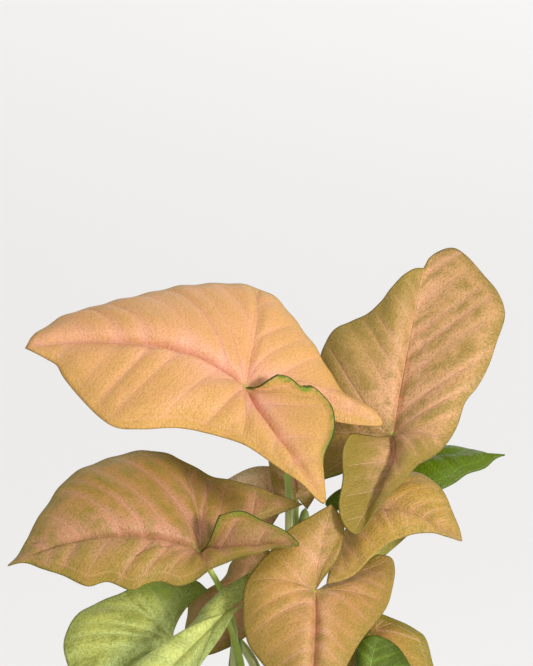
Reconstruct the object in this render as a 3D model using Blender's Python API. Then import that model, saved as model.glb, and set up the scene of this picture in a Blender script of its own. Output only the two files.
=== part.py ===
"""An arrowhead plant with peach and green leaves, grown in a plain clay pot.

The pot stands on z = 0 with its axis on the z axis, and the plant is seen from -y.
Dimensions below are in millimetres; the meshes are made in metres.

A leaf seen from the front is laid out as it is seen from there: each of its points is
(across, up, toward), measured from PICTURE_CENTRE on lines of sight that look down by VIEW_TILT.
The other leaves are one standard arrowhead outline, laid out by their pose.
"""

import math
from dataclasses import dataclass

import bmesh
import bpy
import numpy as np

MM = 0.001
GAP = 0.3

# The line of sight that the front leaves are laid out on
VIEW_TILT = math.radians(12)
VIEW_DISTANCE = 2400
VIEW_HEIGHT = 175
PICTURE_CENTRE = (-1.4, 133.0)

# Pot
POT_HEIGHT = 108
RIM_RADIUS = 60
RIM_HEIGHT = 25
FOOT_RADIUS = 41
BODY_TOP_RADIUS = 54
COLLAR_LEAN = 1
COLLAR_SLOPE = 2
WALL = 5
MOUTH_RADIUS = 53
FLOOR = 7
FLOOR_CHAMFER = 4
DRAIN_HOLES = 3
DRAIN_RADIUS = 4.5
DRAIN_CIRCLE = 20
DRAIN_SIDES = 12
EDGE_ROUND = 1.4
POT_SIDES = 40
MERGE = 0.01
SHARP_EDGE = math.radians(40)

# Soil
SOIL_TOP = 97
SOIL_RINGS = 7
SOIL_RELIEF = 0.55
SOIL_CROWN = 2.0
SOIL_FALL = 900
HOLE_CLEARANCE = 0.6
HOLE_TOP = 120

# Stems
STEM_FOOT_RADIUS = 3.3
STEM_TOP_RADIUS = 2.4
STEM_TIP_SHARE = 0.6
STEM_STEPS = 12
STEM_SAMPLES = 60

# Leaves and stalks
BLADE_THICKNESS = 0.9
MARGIN_STEP = 10.0
BLADE_ROWS = 4
FEWEST_RAYS = 8
STALK_STEPS = 9
STALK_FOOT_RADIUS = 1.9
STALK_TOP_RADIUS = 1.1
STALK_CAP = 0.3
STALK_FLARE = 1.5
STALK_SPREAD = 0.1
STALK_REACH = 0.4
CURVE_STEPS = 12
RIB_REACH = 0.6
NOTCH_REACH = 0.3
FAN_SHARE = 0.25
FAN_EVEN = 0.15
FAN_LIMIT = math.radians(345)
CREASE = 0.7
LOBE_DROOP = 1.2
FOLD_ROUND = 1.4

PEACH = (0.74, 0.40, 0.20)
TAN = (0.46, 0.27, 0.12)
OLIVE = (0.35, 0.24, 0.09)
GOLD = (0.62, 0.38, 0.12)
ROSE = (0.50, 0.28, 0.16)
PALE_GREEN = (0.38, 0.50, 0.13)
MID_GREEN = (0.20, 0.33, 0.06)
BRIGHT_GREEN = (0.09, 0.27, 0.01)
DARK_GREEN = (0.04, 0.10, 0.01)
STALK_GREEN = (0.33, 0.45, 0.12)
STALK_ROSE = (0.50, 0.34, 0.20)
STEM_GREEN = (0.24, 0.30, 0.10)
CLAY = (0.52, 0.22, 0.12)
PEAT = (0.035, 0.022, 0.014)
BLADE_ROUGHNESS = 0.5
STALK_ROUGHNESS = 0.45
STEM_ROUGHNESS = 0.5
CLAY_ROUGHNESS = 0.85
PEAT_ROUGHNESS = 0.95


@dataclass
class Leaf:
    """A blade's landmarks, and the stem that its stalk grows from.

    The margins run from the tip round to the notch: left and right are those of a person who
    stands where the stalk meets the blade and looks along it to the tip. Where the lobes lap, or
    a margin doubles back, the blade is lapped.
    """

    joint: tuple
    tip: tuple
    rib: tuple
    left: list
    right: list
    colour: tuple
    stem: str
    height: float
    belly: tuple = (4.0, 4.0)
    wave: tuple = (0.0, 2.0, 0.0)
    left_notch: tuple = (0.0, 0.0, 0.0)
    right_notch: tuple = (0.0, 0.0, 0.0)
    turn: float = 0.0
    lean: float = 0.35
    rise: float = 0.45
    bend: tuple = (0.0, 0.0, 0.0)
    drop: float = 0.0
    stalk: tuple = STALK_GREEN
    lapped: bool = False


def seen(across, up, toward):
    """The place of a point that is laid out on the line of sight, as x, y, z."""
    shrink = (VIEW_DISTANCE - toward) / VIEW_DISTANCE
    right = PICTURE_CENTRE[0] + (across - PICTURE_CENTRE[0]) * shrink
    high = PICTURE_CENTRE[1] + (up - PICTURE_CENTRE[1]) * shrink
    y = high * math.sin(VIEW_TILT) - toward * math.cos(VIEW_TILT)
    z = VIEW_HEIGHT + high * math.cos(VIEW_TILT) + toward * math.sin(VIEW_TILT)
    return np.array([right, y, z])


def seen_leaf(joint, tip, rib, left, right, **rest):
    """A leaf laid out as the front shows it."""
    return Leaf(
        joint=seen(*joint),
        tip=seen(*tip),
        rib=seen(*rib),
        left=[seen(*point) for point in left],
        right=[seen(*point) for point in right],
        **rest,
    )


# Half of a standard blade, from the tip to the notch, in shares of its length and half width
HALF_OUTLINE = [
    (0.93, 0.13),
    (0.78, 0.40),
    (0.55, 0.70),
    (0.28, 0.93),
    (0.02, 1.00),
    (-0.20, 0.88),
    (-0.36, 0.62),
    (-0.42, 0.34),
    (-0.33, 0.15),
]


def posed_leaf(joint, tip, face, half_width, arch, fold, **rest):
    """A standard blade from joint to tip, whose upper side looks towards face.

    arch lifts the middle of the midrib, and fold drops the two halves away from it like a roof.
    """
    joint = np.array(joint, dtype=float)
    tip = np.array(tip, dtype=float)
    length = np.linalg.norm(tip - joint)
    ahead = (tip - joint) / length
    across = np.cross(np.array(face, dtype=float), ahead)
    across /= np.linalg.norm(across)
    out = np.cross(ahead, across)

    def place(share, side):
        droop = arch * 4 * share * (1 - share) if share > 0 else arch * LOBE_DROOP * share
        lift = droop - fold * half_width * abs(side) ** FOLD_ROUND
        return joint + ahead * share * length + across * side * half_width + out * lift

    return Leaf(
        joint=joint,
        tip=tip,
        rib=place(0.5, 0.0),
        left=[place(share, side) for share, side in HALF_OUTLINE],
        right=[place(share, -side) for share, side in HALF_OUTLINE],
        **rest,
    )


# The points that each stem's axis runs through, from its foot in the soil to its growing tip
STEMS = {
    "stem_middle": [(5, 6, 66), (7, 8, 130), (11, 9, 190), (14, 8, 238)],
    "stem_left": [(-16, -2, 66), (-18, -7, 110), (-16, -12, 150), (-13, -16, 191)],
    "stem_right": [(19, -8, 66), (23, -12, 110), (26, -13, 150), (28, -12, 186)],
    "stem_rear": [(-4, 24, 66), (-3, 28, 105), (1, 29, 150), (4, 28, 194)],
}

LEAVES = {
    "top_left": seen_leaf(
        joint=(-10, 111, 26),
        tip=(-98, 127, 30),
        rib=(-48, 127.5, 32),
        left=[
            (-90, 122.8, 33),
            (-85.5, 120.2, 35.5),
            (-82.5, 115, 38),
            (-76, 107, 42),
            (-68, 99, 47),
            (-61, 95, 50),
            (-51, 94.5, 50),
            (-37, 95, 48),
            (-24, 92.5, 48),
            (-10, 88, 50),
            (2, 80, 54),
            (12, 73, 57),
            (21.5, 64.5, 58),
            (22, 72, 55),
            (21.5, 83, 50),
            (25.5, 92, 44),
            (25, 102, 37),
            (19, 109.5, 32),
            (13, 111, 31),
            (8.5, 114.5, 30.5),
            (3, 115.5, 29.5),
        ],
        right=[
            (-94, 132.4, 27),
            (-83, 139.6, 19),
            (-73, 142.4, 13.5),
            (-61, 146.3, 8),
            (-47, 149, 2.7),
            (-33, 152.2, -3),
            (-17, 152.6, -6),
            (-6, 151, -6),
            (3, 146.6, -4),
            (12, 135, 1),
            (19, 126, 5),
            (26, 114, 9),
            (31, 107.5, 12),
            (38, 105, 13),
            (43, 101, 15),
            (45, 96, 17),
            (36, 96, 19),
            (26, 97.5, 21),
        ],
        colour=PEACH,
        stem="stem_middle",
        height=214,
        belly=(5.0, 6.0),
        left_notch=(0.0, -1.5, 0.0),
        right_notch=(0.0, 0.3, 0.5),
        turn=-40,
        drop=0.25,
        bend=(22, 0, 0),
        lapped=True,
    ),
    "top_right": seen_leaf(
        joint=(49, 92, 5),
        tip=(61.5, 159, -27),
        rib=(55.5, 128, -13),
        left=[
            (57, 158.5, -24),
            (51, 154, -20),
            (44, 145, -18),
            (40, 141.2, -17.5),
            (33, 137.8, -17),
            (27, 135.2, -16),
            (22.3, 129, -15),
            (19, 118, -12),
            (19, 106, -9),
            (20, 94, -5),
            (18, 82, -3),
            (17, 73, 0),
            (24, 75, 3),
            (34, 79, 4),
        ],
        right=[
            (65.5, 164.6, -34),
            (73, 167, -36),
            (79, 163.5, -33),
            (85, 156.5, -28),
            (91, 149.5, -22),
            (94, 140, -16),
            (90.5, 129, -10),
            (87.5, 120, -5),
            (83, 111.5, 0),
            (78, 105, 4),
            (75, 96, 9),
            (71, 89, 14),
            (66, 84, 20),
            (59, 80, 27),
            (54, 74, 33),
            (45, 65, 40),
            (37, 54, 45),
            (33, 53, 46),
            (29, 57, 44),
            (27.5, 64, 41),
            (29, 75, 34),
            (29, 86, 27),
            (32, 93, 20),
        ],
        colour=TAN,
        stem="stem_middle",
        height=190,
        belly=(4.0, 4.0),
        right_notch=(0.0, 0.0, 0.5),
        turn=50,
        drop=0.2,
        stalk=STALK_ROSE,
        lapped=True,
    ),
    "left": seen_leaf(
        joint=(-28, 45, 35),
        tip=(-105, 40, 45),
        rib=(-66, 50, 46),
        left=[
            (-98, 41, 47),
            (-91, 38.5, 50),
            (-83, 36, 53),
            (-73, 31.6, 56),
            (-65, 33.4, 56),
            (-56, 30, 58),
            (-51, 32, 57),
            (-44, 33.6, 57),
            (-37, 31.6, 58),
            (-30, 34, 58),
            (-23, 38.6, 58),
            (-13, 43, 58),
            (-2, 46, 56),
            (6, 47.6, 55),
            (12, 48, 53),
            (7, 53.5, 51),
            (-3, 58.2, 47),
            (-11, 61.8, 44),
            (-20, 60, 41),
        ],
        right=[
            (-101, 44.2, 42),
            (-97, 50, 39),
            (-94, 56.6, 35.5),
            (-84, 71.5, 28),
            (-74, 79, 22),
            (-59, 84.5, 15),
            (-46, 85.5, 11),
            (-35, 82.2, 9),
            (-23, 75.4, 10),
            (-8, 72.4, 12),
            (3, 68.2, 15),
            (13, 64.5, 19),
        ],
        colour=OLIVE,
        stem="stem_left",
        height=172,
        belly=(3.5, 5.0),
        left_notch=(0.0, -1.5, 0.0),
        right_notch=(0.0, 1.8, 0.0),
        turn=50,
        bend=(12, -8, 0),
        lapped=True,
    ),
    "front": seen_leaf(
        joint=(18, 30, 45),
        tip=(15, -24, 72),
        rib=(17.5, 5, 61),
        left=[
            (22, -11, 69),
            (29, -3, 64),
            (34, 6, 59),
            (38, 12, 55),
            (43, 18, 49),
            (47, 24, 43),
            (49, 31, 37),
            (50, 38, 31),
            (48.5, 43, 27.5),
            (43, 44.6, 27),
        ],
        right=[
            (9, -13, 69),
            (1, -4, 63),
            (-6.4, 5, 58),
            (-9.2, 10, 56),
            (-10.8, 19, 53),
            (-10, 31.6, 50),
            (-5, 40, 47),
            (1.4, 47, 45),
            (7, 54, 43),
            (13.4, 58, 41),
            (22, 63, 38),
            (25, 64, 37.5),
            (29.5, 56.5, 39),
            (29, 50, 42),
            (26.5, 42, 44.5),
        ],
        colour=PEACH,
        stem="stem_right",
        height=150,
        belly=(0.8, 4.5),
        left_notch=(-0.6, 3.8, -2.6),
        right_notch=(0.3, -0.6, 0.3),
        turn=-35,
        drop=0.3,
        lapped=True,
    ),
    "right": seen_leaf(
        joint=(33, 60, 18),
        tip=(77, 50, 25),
        rib=(56, 59, 22),
        left=[
            (75.6, 55, 21),
            (73, 61.5, 17),
            (69.5, 69, 14),
            (65.5, 73.5, 11),
            (59, 77, 8),
            (50, 78, 4),
            (40, 76, 1),
            (33, 73, 1),
            (29, 68.5, 4),
            (29.5, 64, 9),
        ],
        right=[
            (70.5, 51.5, 28),
            (65, 53, 29),
            (58, 52.6, 31),
            (52, 50.8, 33),
            (48, 49.2, 35),
            (44, 46, 37),
            (39.5, 42, 39.7),
            (34.5, 37, 42.5),
            (29, 34, 45),
            (22.5, 32.8, 46.6),
        ],
        colour=GOLD,
        stem="stem_right",
        height=172,
        belly=(3.0, 3.5),
        right_notch=(-1.5, 0.0, 0.0),
        turn=20,
    ),
    "rear_right": seen_leaf(
        joint=(44, 76, -16),
        tip=(94, 84.3, -20),
        rib=(68, 84, -16),
        left=[
            (89.5, 83.8, -23),
            (83.5, 85.6, -26),
            (77, 87, -29),
            (68, 88, -32),
            (56, 87.4, -34),
            (44, 86, -33),
            (34, 82, -28),
            (35, 78, -22),
        ],
        right=[
            (90, 82.4, -18),
            (86, 79, -14),
            (79, 76.5, -10),
            (74, 73, -7),
            (68, 70, -5),
            (58, 66, -8),
            (46, 62.5, -12),
            (34, 61.5, -15),
            (25, 62.5, -17),
            (22, 65, -18),
            (26, 69.5, -18),
            (33, 73, -17),
        ],
        colour=BRIGHT_GREEN,
        stem="stem_rear",
        height=180,
        belly=(2.5, 3.0),
        turn=-75,
        drop=0.6,
    ),
    "low_left": seen_leaf(
        joint=(-39, 10, 25),
        tip=(-79, -33, 46),
        rib=(-62, -5, 40),
        left=[
            (-73, -36, 46),
            (-63, -37, 44),
            (-50, -36, 42),
            (-38, -30, 38),
            (-29, -20, 34),
            (-26, -10, 30),
            (-32, -1, 26),
        ],
        right=[
            (-78, -20, 42),
            (-79, -7, 37),
            (-82.4, 7, 32),
            (-80.6, 15, 28),
            (-76, 21.4, 25),
            (-69.5, 24.8, 22),
            (-61, 28.3, 18),
            (-48, 33.8, 15),
            (-37, 35, 14),
            (-29.5, 34, 15),
            (-24.9, 30.2, 17),
        ],
        colour=PALE_GREEN,
        stem="stem_left",
        height=138,
        belly=(3.0, 3.5),
        right_notch=(-2.8, 0.8, 1.0),
        turn=15,
    ),
    "front_left": seen_leaf(
        joint=(-18, 21, 44),
        tip=(-72, -34, 66),
        rib=(-43.5, -4.5, 58.5),
        left=[
            (-64, -34, 67),
            (-50, -28, 67),
            (-37, -14, 65),
            (-28, 0, 60),
            (-20, 11, 54),
            (-15, 20, 49),
            (-10, 25, 45),
        ],
        right=[
            (-70, -22, 60),
            (-62, -7, 54),
            (-53, 0.5, 50),
            (-44, 6.4, 46),
            (-37, 11.5, 43),
            (-31, 17, 41),
            (-26, 24, 40),
            (-19, 30.5, 39),
            (-11.5, 35, 38),
            (-7, 37, 37.5),
            (-6, 30, 40),
        ],
        colour=PALE_GREEN,
        stem="stem_left",
        height=155,
        belly=(1.5, 3.0),
        turn=50,
    ),
    "under_left": seen_leaf(
        joint=(-5, 38, -4),
        tip=(-33, 6, 16),
        rib=(-20, 24, 10),
        left=[
            (-26, 4, 17),
            (-17, 7, 15),
            (-9, 12, 12),
            (-2, 20, 8),
            (2, 29, 2),
            (1, 35, -2),
        ],
        right=[
            (-34, 13, 13),
            (-33, 20, 10),
            (-31.8, 25.2, 7.5),
            (-25.5, 27.6, 5),
            (-21.5, 31.6, 3),
            (-17.6, 36, 0),
            (-15.8, 41, -3),
            (-11, 44.8, -6),
            (-4, 47, -8.5),
            (0, 45.5, -9),
            (-0.5, 41.5, -7),
        ],
        colour=ROSE,
        stem="stem_middle",
        height=176,
        belly=(2.5, 2.5),
        stalk=STALK_ROSE,
    ),
    "rear_left": seen_leaf(
        joint=(1, 56, -23),
        tip=(-66, 44, -35),
        rib=(-30, 56, -27),
        left=[
            (-56, 40.5, -30),
            (-44, 38, -25),
            (-32, 39, -20),
            (-20, 44.5, -17),
            (-8, 48, -16),
            (2, 49.5, -17),
            (3, 52, -19),
        ],
        right=[
            (-58, 50, -38),
            (-46, 58, -40),
            (-32, 66, -41),
            (-19, 73, -41),
            (-12, 77.5, -40),
            (-5, 79.4, -38),
            (3, 79.2, -35),
            (9, 76, -31),
            (8, 68, -27),
        ],
        colour=GOLD,
        stem="stem_rear",
        height=170,
        belly=(3.0, 3.0),
        turn=60,
    ),
    "centre": seen_leaf(
        joint=(11, 67, -10),
        tip=(9, 106, -23),
        rib=(9, 88, -13),
        left=[
            (4, 100, -21),
            (0, 93, -18),
            (-1, 86, -15),
            (0, 79, -14),
            (1, 72, -11),
            (3, 66, -10),
            (7, 62.5, -9),
        ],
        right=[
            (14, 99, -22),
            (17, 92, -20),
            (18.5, 85, -18),
            (19, 77, -17),
            (18.5, 69, -14),
            (15, 62.5, -10),
        ],
        colour=OLIVE,
        stem="stem_middle",
        height=206,
        belly=(2.0, 2.0),
    ),
    "low_right": seen_leaf(
        joint=(40, 13, 34),
        tip=(56, -32, 48),
        rib=(50, -10, 45),
        left=[
            (62, -24, 45),
            (66, -17, 43),
            (68, -8, 40),
            (65, 1, 37),
            (62.2, 10.6, 35),
            (58.5, 14, 33),
            (51, 18, 31),
            (44, 20.8, 30),
            (39, 19.6, 31),
        ],
        right=[
            (49, -30, 48),
            (41, -25, 47),
            (35, -17, 45),
            (31, -8, 42),
            (29, 1, 39),
            (31, 8, 36),
        ],
        colour=GOLD,
        stem="stem_right",
        height=126,
        belly=(3.0, 3.0),
        turn=-5,
        stalk=STALK_ROSE,
    ),
    "small_right": seen_leaf(
        joint=(37, -16, 54),
        tip=(66, -36, 66),
        rib=(52, -20, 61),
        left=[
            (64, -22, 60),
            (60, -8, 54),
            (55, 2, 50),
            (51, 7.6, 47),
            (46, 11, 46),
            (40, 12, 46),
            (35, 8, 46),
            (34, -2, 47),
        ],
        right=[
            (58, -40, 68),
            (48, -41, 68),
            (38, -37, 66),
            (31, -30, 62),
            (29, -21, 57),
            (33, -16, 53),
        ],
        colour=DARK_GREEN,
        stem="stem_right",
        height=112,
        belly=(2.0, 2.0),
        turn=-50,
        bend=(-4, -8, 0),
    ),
    "low_front": posed_leaf(
        joint=(-8, -47, 140),
        tip=(-28, -96, 100),
        face=(-0.2, -0.5, 0.85),
        half_width=30,
        arch=9,
        fold=0.25,
        wave=(1.5, 2.0, 0.5),
        colour=MID_GREEN,
        stem="stem_left",
        height=120,
        turn=-30,
    ),
    "low_front_right": posed_leaf(
        joint=(50, -38, 126),
        tip=(84, -72, 96),
        face=(0.4, -0.4, 0.85),
        half_width=27,
        arch=9,
        fold=0.3,
        wave=(1.5, 2.0, 1.5),
        colour=PALE_GREEN,
        stem="stem_right",
        height=104,
        turn=15,
    ),
    "low_left_side": posed_leaf(
        joint=(-52, 8, 140),
        tip=(-104, 20, 112),
        face=(-0.4, 0.0, 0.9),
        half_width=30,
        arch=9,
        fold=0.3,
        wave=(1.5, 2.0, 2.5),
        colour=MID_GREEN,
        stem="stem_left",
        height=112,
        turn=10,
    ),
    "low_right_side": posed_leaf(
        joint=(56, 18, 142),
        tip=(104, 34, 116),
        face=(0.4, 0.1, 0.9),
        half_width=29,
        arch=9,
        fold=0.28,
        wave=(1.5, 2.0, 0.0),
        colour=ROSE,
        stem="stem_rear",
        height=118,
        turn=-25,
    ),
    "rear_high": posed_leaf(
        joint=(-3, 62, 280),
        tip=(-50, 84, 289),
        face=(-0.1, 0.75, 0.65),
        half_width=31,
        arch=9,
        fold=0.22,
        wave=(1.5, 2.0, 1.0),
        colour=PEACH,
        stem="stem_rear",
        height=182,
        turn=-50,
        drop=0.25,
        bend=(16, 0, 0),
        rise=0.7,
    ),
    "rear_upper": posed_leaf(
        joint=(49, 66, 232),
        tip=(42, 96, 190),
        face=(0.2, 0.8, 0.5),
        half_width=19,
        arch=9,
        fold=0.22,
        wave=(1.5, 2.0, 0.0),
        colour=GOLD,
        stem="stem_rear",
        height=176,
        turn=-50,
    ),
    "rear_middle": posed_leaf(
        joint=(-52, 74, 210),
        tip=(-84, 100, 193),
        face=(-0.3, 0.6, 0.7),
        half_width=26,
        arch=10,
        fold=0.25,
        wave=(1.5, 2.0, 2.0),
        colour=ROSE,
        stem="stem_rear",
        height=150,
        turn=15,
    ),
    "rear_side": posed_leaf(
        joint=(22, 60, 182),
        tip=(36, 104, 138),
        face=(0.15, 0.75, 0.6),
        half_width=24,
        arch=10,
        fold=0.25,
        wave=(1.5, 2.0, 1.0),
        colour=MID_GREEN,
        stem="stem_rear",
        height=140,
        turn=-15,
    ),
    "rear_low": posed_leaf(
        joint=(-2, 62, 146),
        tip=(-10, 108, 108),
        face=(0.0, 0.55, 0.85),
        half_width=30,
        arch=9,
        fold=0.3,
        wave=(1.5, 2.0, 0.7),
        colour=PALE_GREEN,
        stem="stem_rear",
        height=112,
    ),
}


def clear_scene():
    """Take away whatever the scene holds."""
    for old in list(bpy.data.objects):
        bpy.data.objects.remove(old, do_unlink=True)


def finish(name, colour, roughness):
    """A plain material for one sub-part."""
    material = bpy.data.materials.new(name)
    material.use_nodes = True
    shader = material.node_tree.nodes["Principled BSDF"]
    shader.inputs["Base Color"].default_value = (*colour, 1.0)
    shader.inputs["Roughness"].default_value = roughness
    shader.inputs["Metallic"].default_value = 0.0
    return material


def add_object(name, data, material):
    """Put mesh or curve data in the scene as one named sub-part."""
    piece = bpy.data.objects.new(name, data)
    piece.data.materials.append(material)
    bpy.context.scene.collection.objects.link(piece)
    return piece


def smooth_curve(points, count):
    """Evenly spaced points, one more than count, on a smooth curve through the given points."""
    points = [np.array(point, dtype=float) for point in points]
    points = [2 * points[0] - points[1]] + points + [2 * points[-1] - points[-2]]
    fine = []
    for before, start, end, after in zip(points, points[1:], points[2:], points[3:]):
        for share in np.linspace(0, 1, CURVE_STEPS, endpoint=False):
            fine.append(catmull_rom(before, start, end, after, share))
    fine.append(points[-2])
    fine = np.array(fine)
    walked = np.concatenate([[0], np.cumsum(np.linalg.norm(np.diff(fine, axis=0), axis=1))])
    stops = np.linspace(0, walked[-1], count + 1)
    return np.stack([np.interp(stops, walked, fine[:, axis]) for axis in range(3)], axis=1)


def catmull_rom(before, start, end, after, share):
    """The point a share of the way from start to end, on a curve through all four."""
    return 0.5 * (
        2 * start
        + (end - before) * share
        + (2 * before - 5 * start + 4 * end - after) * share**2
        + (3 * start - before - 3 * end + after) * share**3
    )


def margin_rays(leaf):
    """How many rays one half of the blade takes, for facets of about MARGIN_STEP."""
    halves = [np.array([leaf.tip] + side) for side in (leaf.left, leaf.right)]
    length = sum(np.linalg.norm(np.diff(half, axis=0), axis=1).sum() for half in halves) / 2
    return max(FEWEST_RAYS, round(length / MARGIN_STEP))


def blade_points(leaf, rays, rows):
    """The blade's middle surface: rows of points on rays from the stalk to the margin, and normals.

    Ray 0 runs along the right side of the notch, the middle ray is the midrib, and the last one
    runs along the left side of the notch.
    """
    joint = np.array(leaf.joint)
    right = smooth_curve([leaf.tip] + leaf.right, rays)
    left = smooth_curve([leaf.tip] + leaf.left, rays)
    edge = np.vstack([right[:0:-1], left])
    side = np.linspace(-1, 1, 2 * rays + 1)
    reach = edge - joint
    out = np.cross(reach[:-1], reach[1:]).sum(axis=0)
    out /= np.linalg.norm(out)

    rib_bow = np.array(leaf.rib) - (joint + np.array(leaf.tip)) / 2
    near_rib = np.cos(np.clip(np.abs(side) / RIB_REACH, 0, 1) * math.pi / 2) ** 2
    near_notch = np.clip((np.abs(side) - 1) / NOTCH_REACH + 1, 0, 1) ** 2
    belly = np.where(side < 0, leaf.belly[1], leaf.belly[0])
    belly = belly * np.sin(math.pi * np.abs(side) ** CREASE)
    notch_bow = np.where(side[:, None] < 0, np.array(leaf.right_notch), np.array(leaf.left_notch))
    bow = near_rib[:, None] * rib_bow + near_notch[:, None] * notch_bow + belly[:, None] * out

    turn = fan_turn(reach, out) if leaf.lapped else np.zeros(len(reach))
    height, count, phase = leaf.wave
    ripple = height * np.sin(2 * math.pi * count * np.abs(side) + phase + side)
    ripple = ripple * np.sin(math.pi * np.abs(side)) ** 0.5
    grid = []
    for row in range(1, rows + 1):
        share = row / rows
        turned_reach = rotated(reach, out, turn * min(1, (1 - share) / (1 - FAN_SHARE)) ** 2)
        line = joint + turned_reach * share + bow * (4 * share * (1 - share))
        grid.append(line + out * (ripple * share**3)[:, None])
    return joint, np.array(grid), out


def fan_turn(reach, out):
    """How far each ray turns near the stalk, so that lobes which lap farther out start apart there."""
    flat = reach - np.outer(reach @ out, out)
    steps = np.arctan2(np.cross(flat[:-1], flat[1:]) @ out, (flat[:-1] * flat[1:]).sum(axis=1))
    angles = np.concatenate([[0], np.cumsum(steps)])
    middle = len(angles) // 2
    even = np.linspace(angles[0], angles[-1], len(angles))
    wanted = np.maximum.accumulate(angles) * (1 - FAN_EVEN) + even * FAN_EVEN
    angles = angles - angles[middle]
    wanted = wanted - wanted[middle]
    return wanted * min(1, FAN_LIMIT / (wanted[-1] - wanted[0])) - angles


def rotated(lines, axis, angles):
    """Vectors turned round an axis, each by its own angle."""
    along = np.outer(lines @ axis, axis)
    aside = lines - along
    return along + aside * np.cos(angles)[:, None] + np.cross(axis, aside) * np.sin(angles)[:, None]


def add_blade(name, leaf):
    """One leaf's blade, from a fan of rays, as thick as BLADE_THICKNESS."""
    rays = margin_rays(leaf)
    joint, grid, _ = blade_points(leaf, rays, BLADE_ROWS)
    shape = bmesh.new()
    centre = shape.verts.new(joint * MM)
    rows = [[shape.verts.new(point * MM) for point in line] for line in grid]
    for first, second in zip(rows[0], rows[0][1:]):
        shape.faces.new((centre, first, second))
    for inner, outer in zip(rows, rows[1:]):
        for left, right, far_left, far_right in zip(inner, inner[1:], outer, outer[1:]):
            shape.faces.new((left, far_left, far_right))
            shape.faces.new((left, far_right, right))
    mesh = bpy.data.meshes.new(name)
    shape.to_mesh(mesh)
    shape.free()
    mesh.shade_smooth()
    blade = add_object(name, mesh, finish(name, leaf.colour, BLADE_ROUGHNESS))
    thicken = blade.modifiers.new("thickness", "SOLIDIFY")
    thicken.thickness = BLADE_THICKNESS * MM
    thicken.offset = 0
    return blade


def stem_radius(share):
    """A stem's radius, from its foot at 0 to its top at 1."""
    return STEM_FOOT_RADIUS + (STEM_TOP_RADIUS - STEM_FOOT_RADIUS) * share


def stem_at(name, height):
    """A stem's axis, direction and radius at a height."""
    line = smooth_curve(STEMS[name], STEM_SAMPLES)
    share = float(np.interp(height, line[:, 2], np.linspace(0, 1, len(line))))
    point = np.array([np.interp(height, line[:, 2], line[:, axis]) for axis in range(3)])
    index = min(int(share * STEM_SAMPLES), STEM_SAMPLES - 1)
    ahead = line[index + 1] - line[index]
    return point, ahead / np.linalg.norm(ahead), stem_radius(share)


def stalk_path(leaf):
    """A stalk's line, which leaves the stem's side and curves up to the underside of the blade."""
    foot, ahead, thick = stem_at(leaf.stem, leaf.height)
    joint = np.array(leaf.joint)
    _, _, out = blade_points(leaf, FEWEST_RAYS, BLADE_ROWS)
    heading = math.atan2(joint[1] - foot[1], joint[0] - foot[0]) + math.radians(leaf.turn)
    aside = np.array([math.cos(heading), math.sin(heading), 0.0])
    aside -= ahead * aside.dot(ahead)
    aside /= np.linalg.norm(aside)
    start = foot + aside * (thick + STALK_FOOT_RADIUS + GAP)
    chord = np.linalg.norm(joint - start)
    below = -out * (1 - leaf.lean) + (start - joint) / chord * leaf.lean
    below /= np.linalg.norm(below)
    slant = math.sqrt(max(0.0, 1 - below.dot(out) ** 2))
    clear = BLADE_THICKNESS / 2 + GAP + STALK_CAP + leaf.drop
    end = joint + below * (clear + STALK_TOP_RADIUS * slant)
    first = start + (ahead + aside * STALK_SPREAD) * chord * leaf.rise
    second = end + below * chord * STALK_REACH + np.array(leaf.bend)
    shares = np.linspace(0, 1, STALK_STEPS + 1)[:, None]
    return (
        start * (1 - shares) ** 3
        + first * 3 * shares * (1 - shares) ** 2
        + second * 3 * shares**2 * (1 - shares)
        + end * shares**3
    )


def add_tube(name, line, radii, resolution, material):
    """A round tube along a line, with a radius at each of its points and closed ends."""
    curve = bpy.data.curves.new(name, "CURVE")
    curve.dimensions = "3D"
    curve.bevel_depth = MM
    curve.bevel_resolution = resolution
    curve.use_fill_caps = True
    spline = curve.splines.new("POLY")
    spline.points.add(len(line) - 1)
    for point, place, radius in zip(spline.points, line, radii):
        point.co = (*(place * MM), 1.0)
        point.radius = radius
    spline.use_smooth = True
    return add_object(name, curve, material)


def add_stalk(name, leaf):
    """One leaf's stalk, thicker where it clasps the stem."""
    line = stalk_path(leaf)
    shares = np.linspace(0, 1, len(line))
    radii = STALK_TOP_RADIUS + (STALK_FOOT_RADIUS - STALK_TOP_RADIUS) * (1 - shares) ** STALK_FLARE
    add_tube(name, line, radii, 1, finish(name, leaf.stalk, STALK_ROUGHNESS))


def add_stem(name):
    """One stem, from its end in the soil to its growing tip."""
    line = smooth_curve(STEMS[name], STEM_STEPS)
    radii = [stem_radius(share) for share in np.linspace(0, 1, len(line))]
    radii[-1] = STEM_TOP_RADIUS * STEM_TIP_SHARE
    add_tube(name, line, radii, 2, finish(name, STEM_GREEN, STEM_ROUGHNESS))


def turned(name, profile, sides):
    """A profile in the x-z plane, from axis to axis, turned once about the z axis."""
    shape = bmesh.new()
    line = [shape.verts.new((radius * MM, 0, height * MM)) for radius, height in profile]
    edges = [shape.edges.new(pair) for pair in zip(line, line[1:])]
    bmesh.ops.spin(
        shape,
        geom=line + edges,
        cent=(0, 0, 0),
        axis=(0, 0, 1),
        angle=math.tau,
        steps=sides,
        use_merge=True,
        use_duplicate=False,
    )
    bmesh.ops.remove_doubles(shape, verts=shape.verts, dist=MERGE * MM)
    bmesh.ops.recalc_face_normals(shape, faces=shape.faces)
    mesh = bpy.data.meshes.new(name)
    shape.to_mesh(mesh)
    shape.free()
    mesh.shade_smooth()
    mesh.set_sharp_from_angle(angle=SHARP_EDGE)
    return mesh


def inner_radius(height):
    """The radius of the pot's inside at a height."""
    share = (height - FLOOR) / (POT_HEIGHT - FLOOR)
    return FOOT_RADIUS - WALL + (MOUTH_RADIUS - FOOT_RADIUS + WALL) * share


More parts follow.
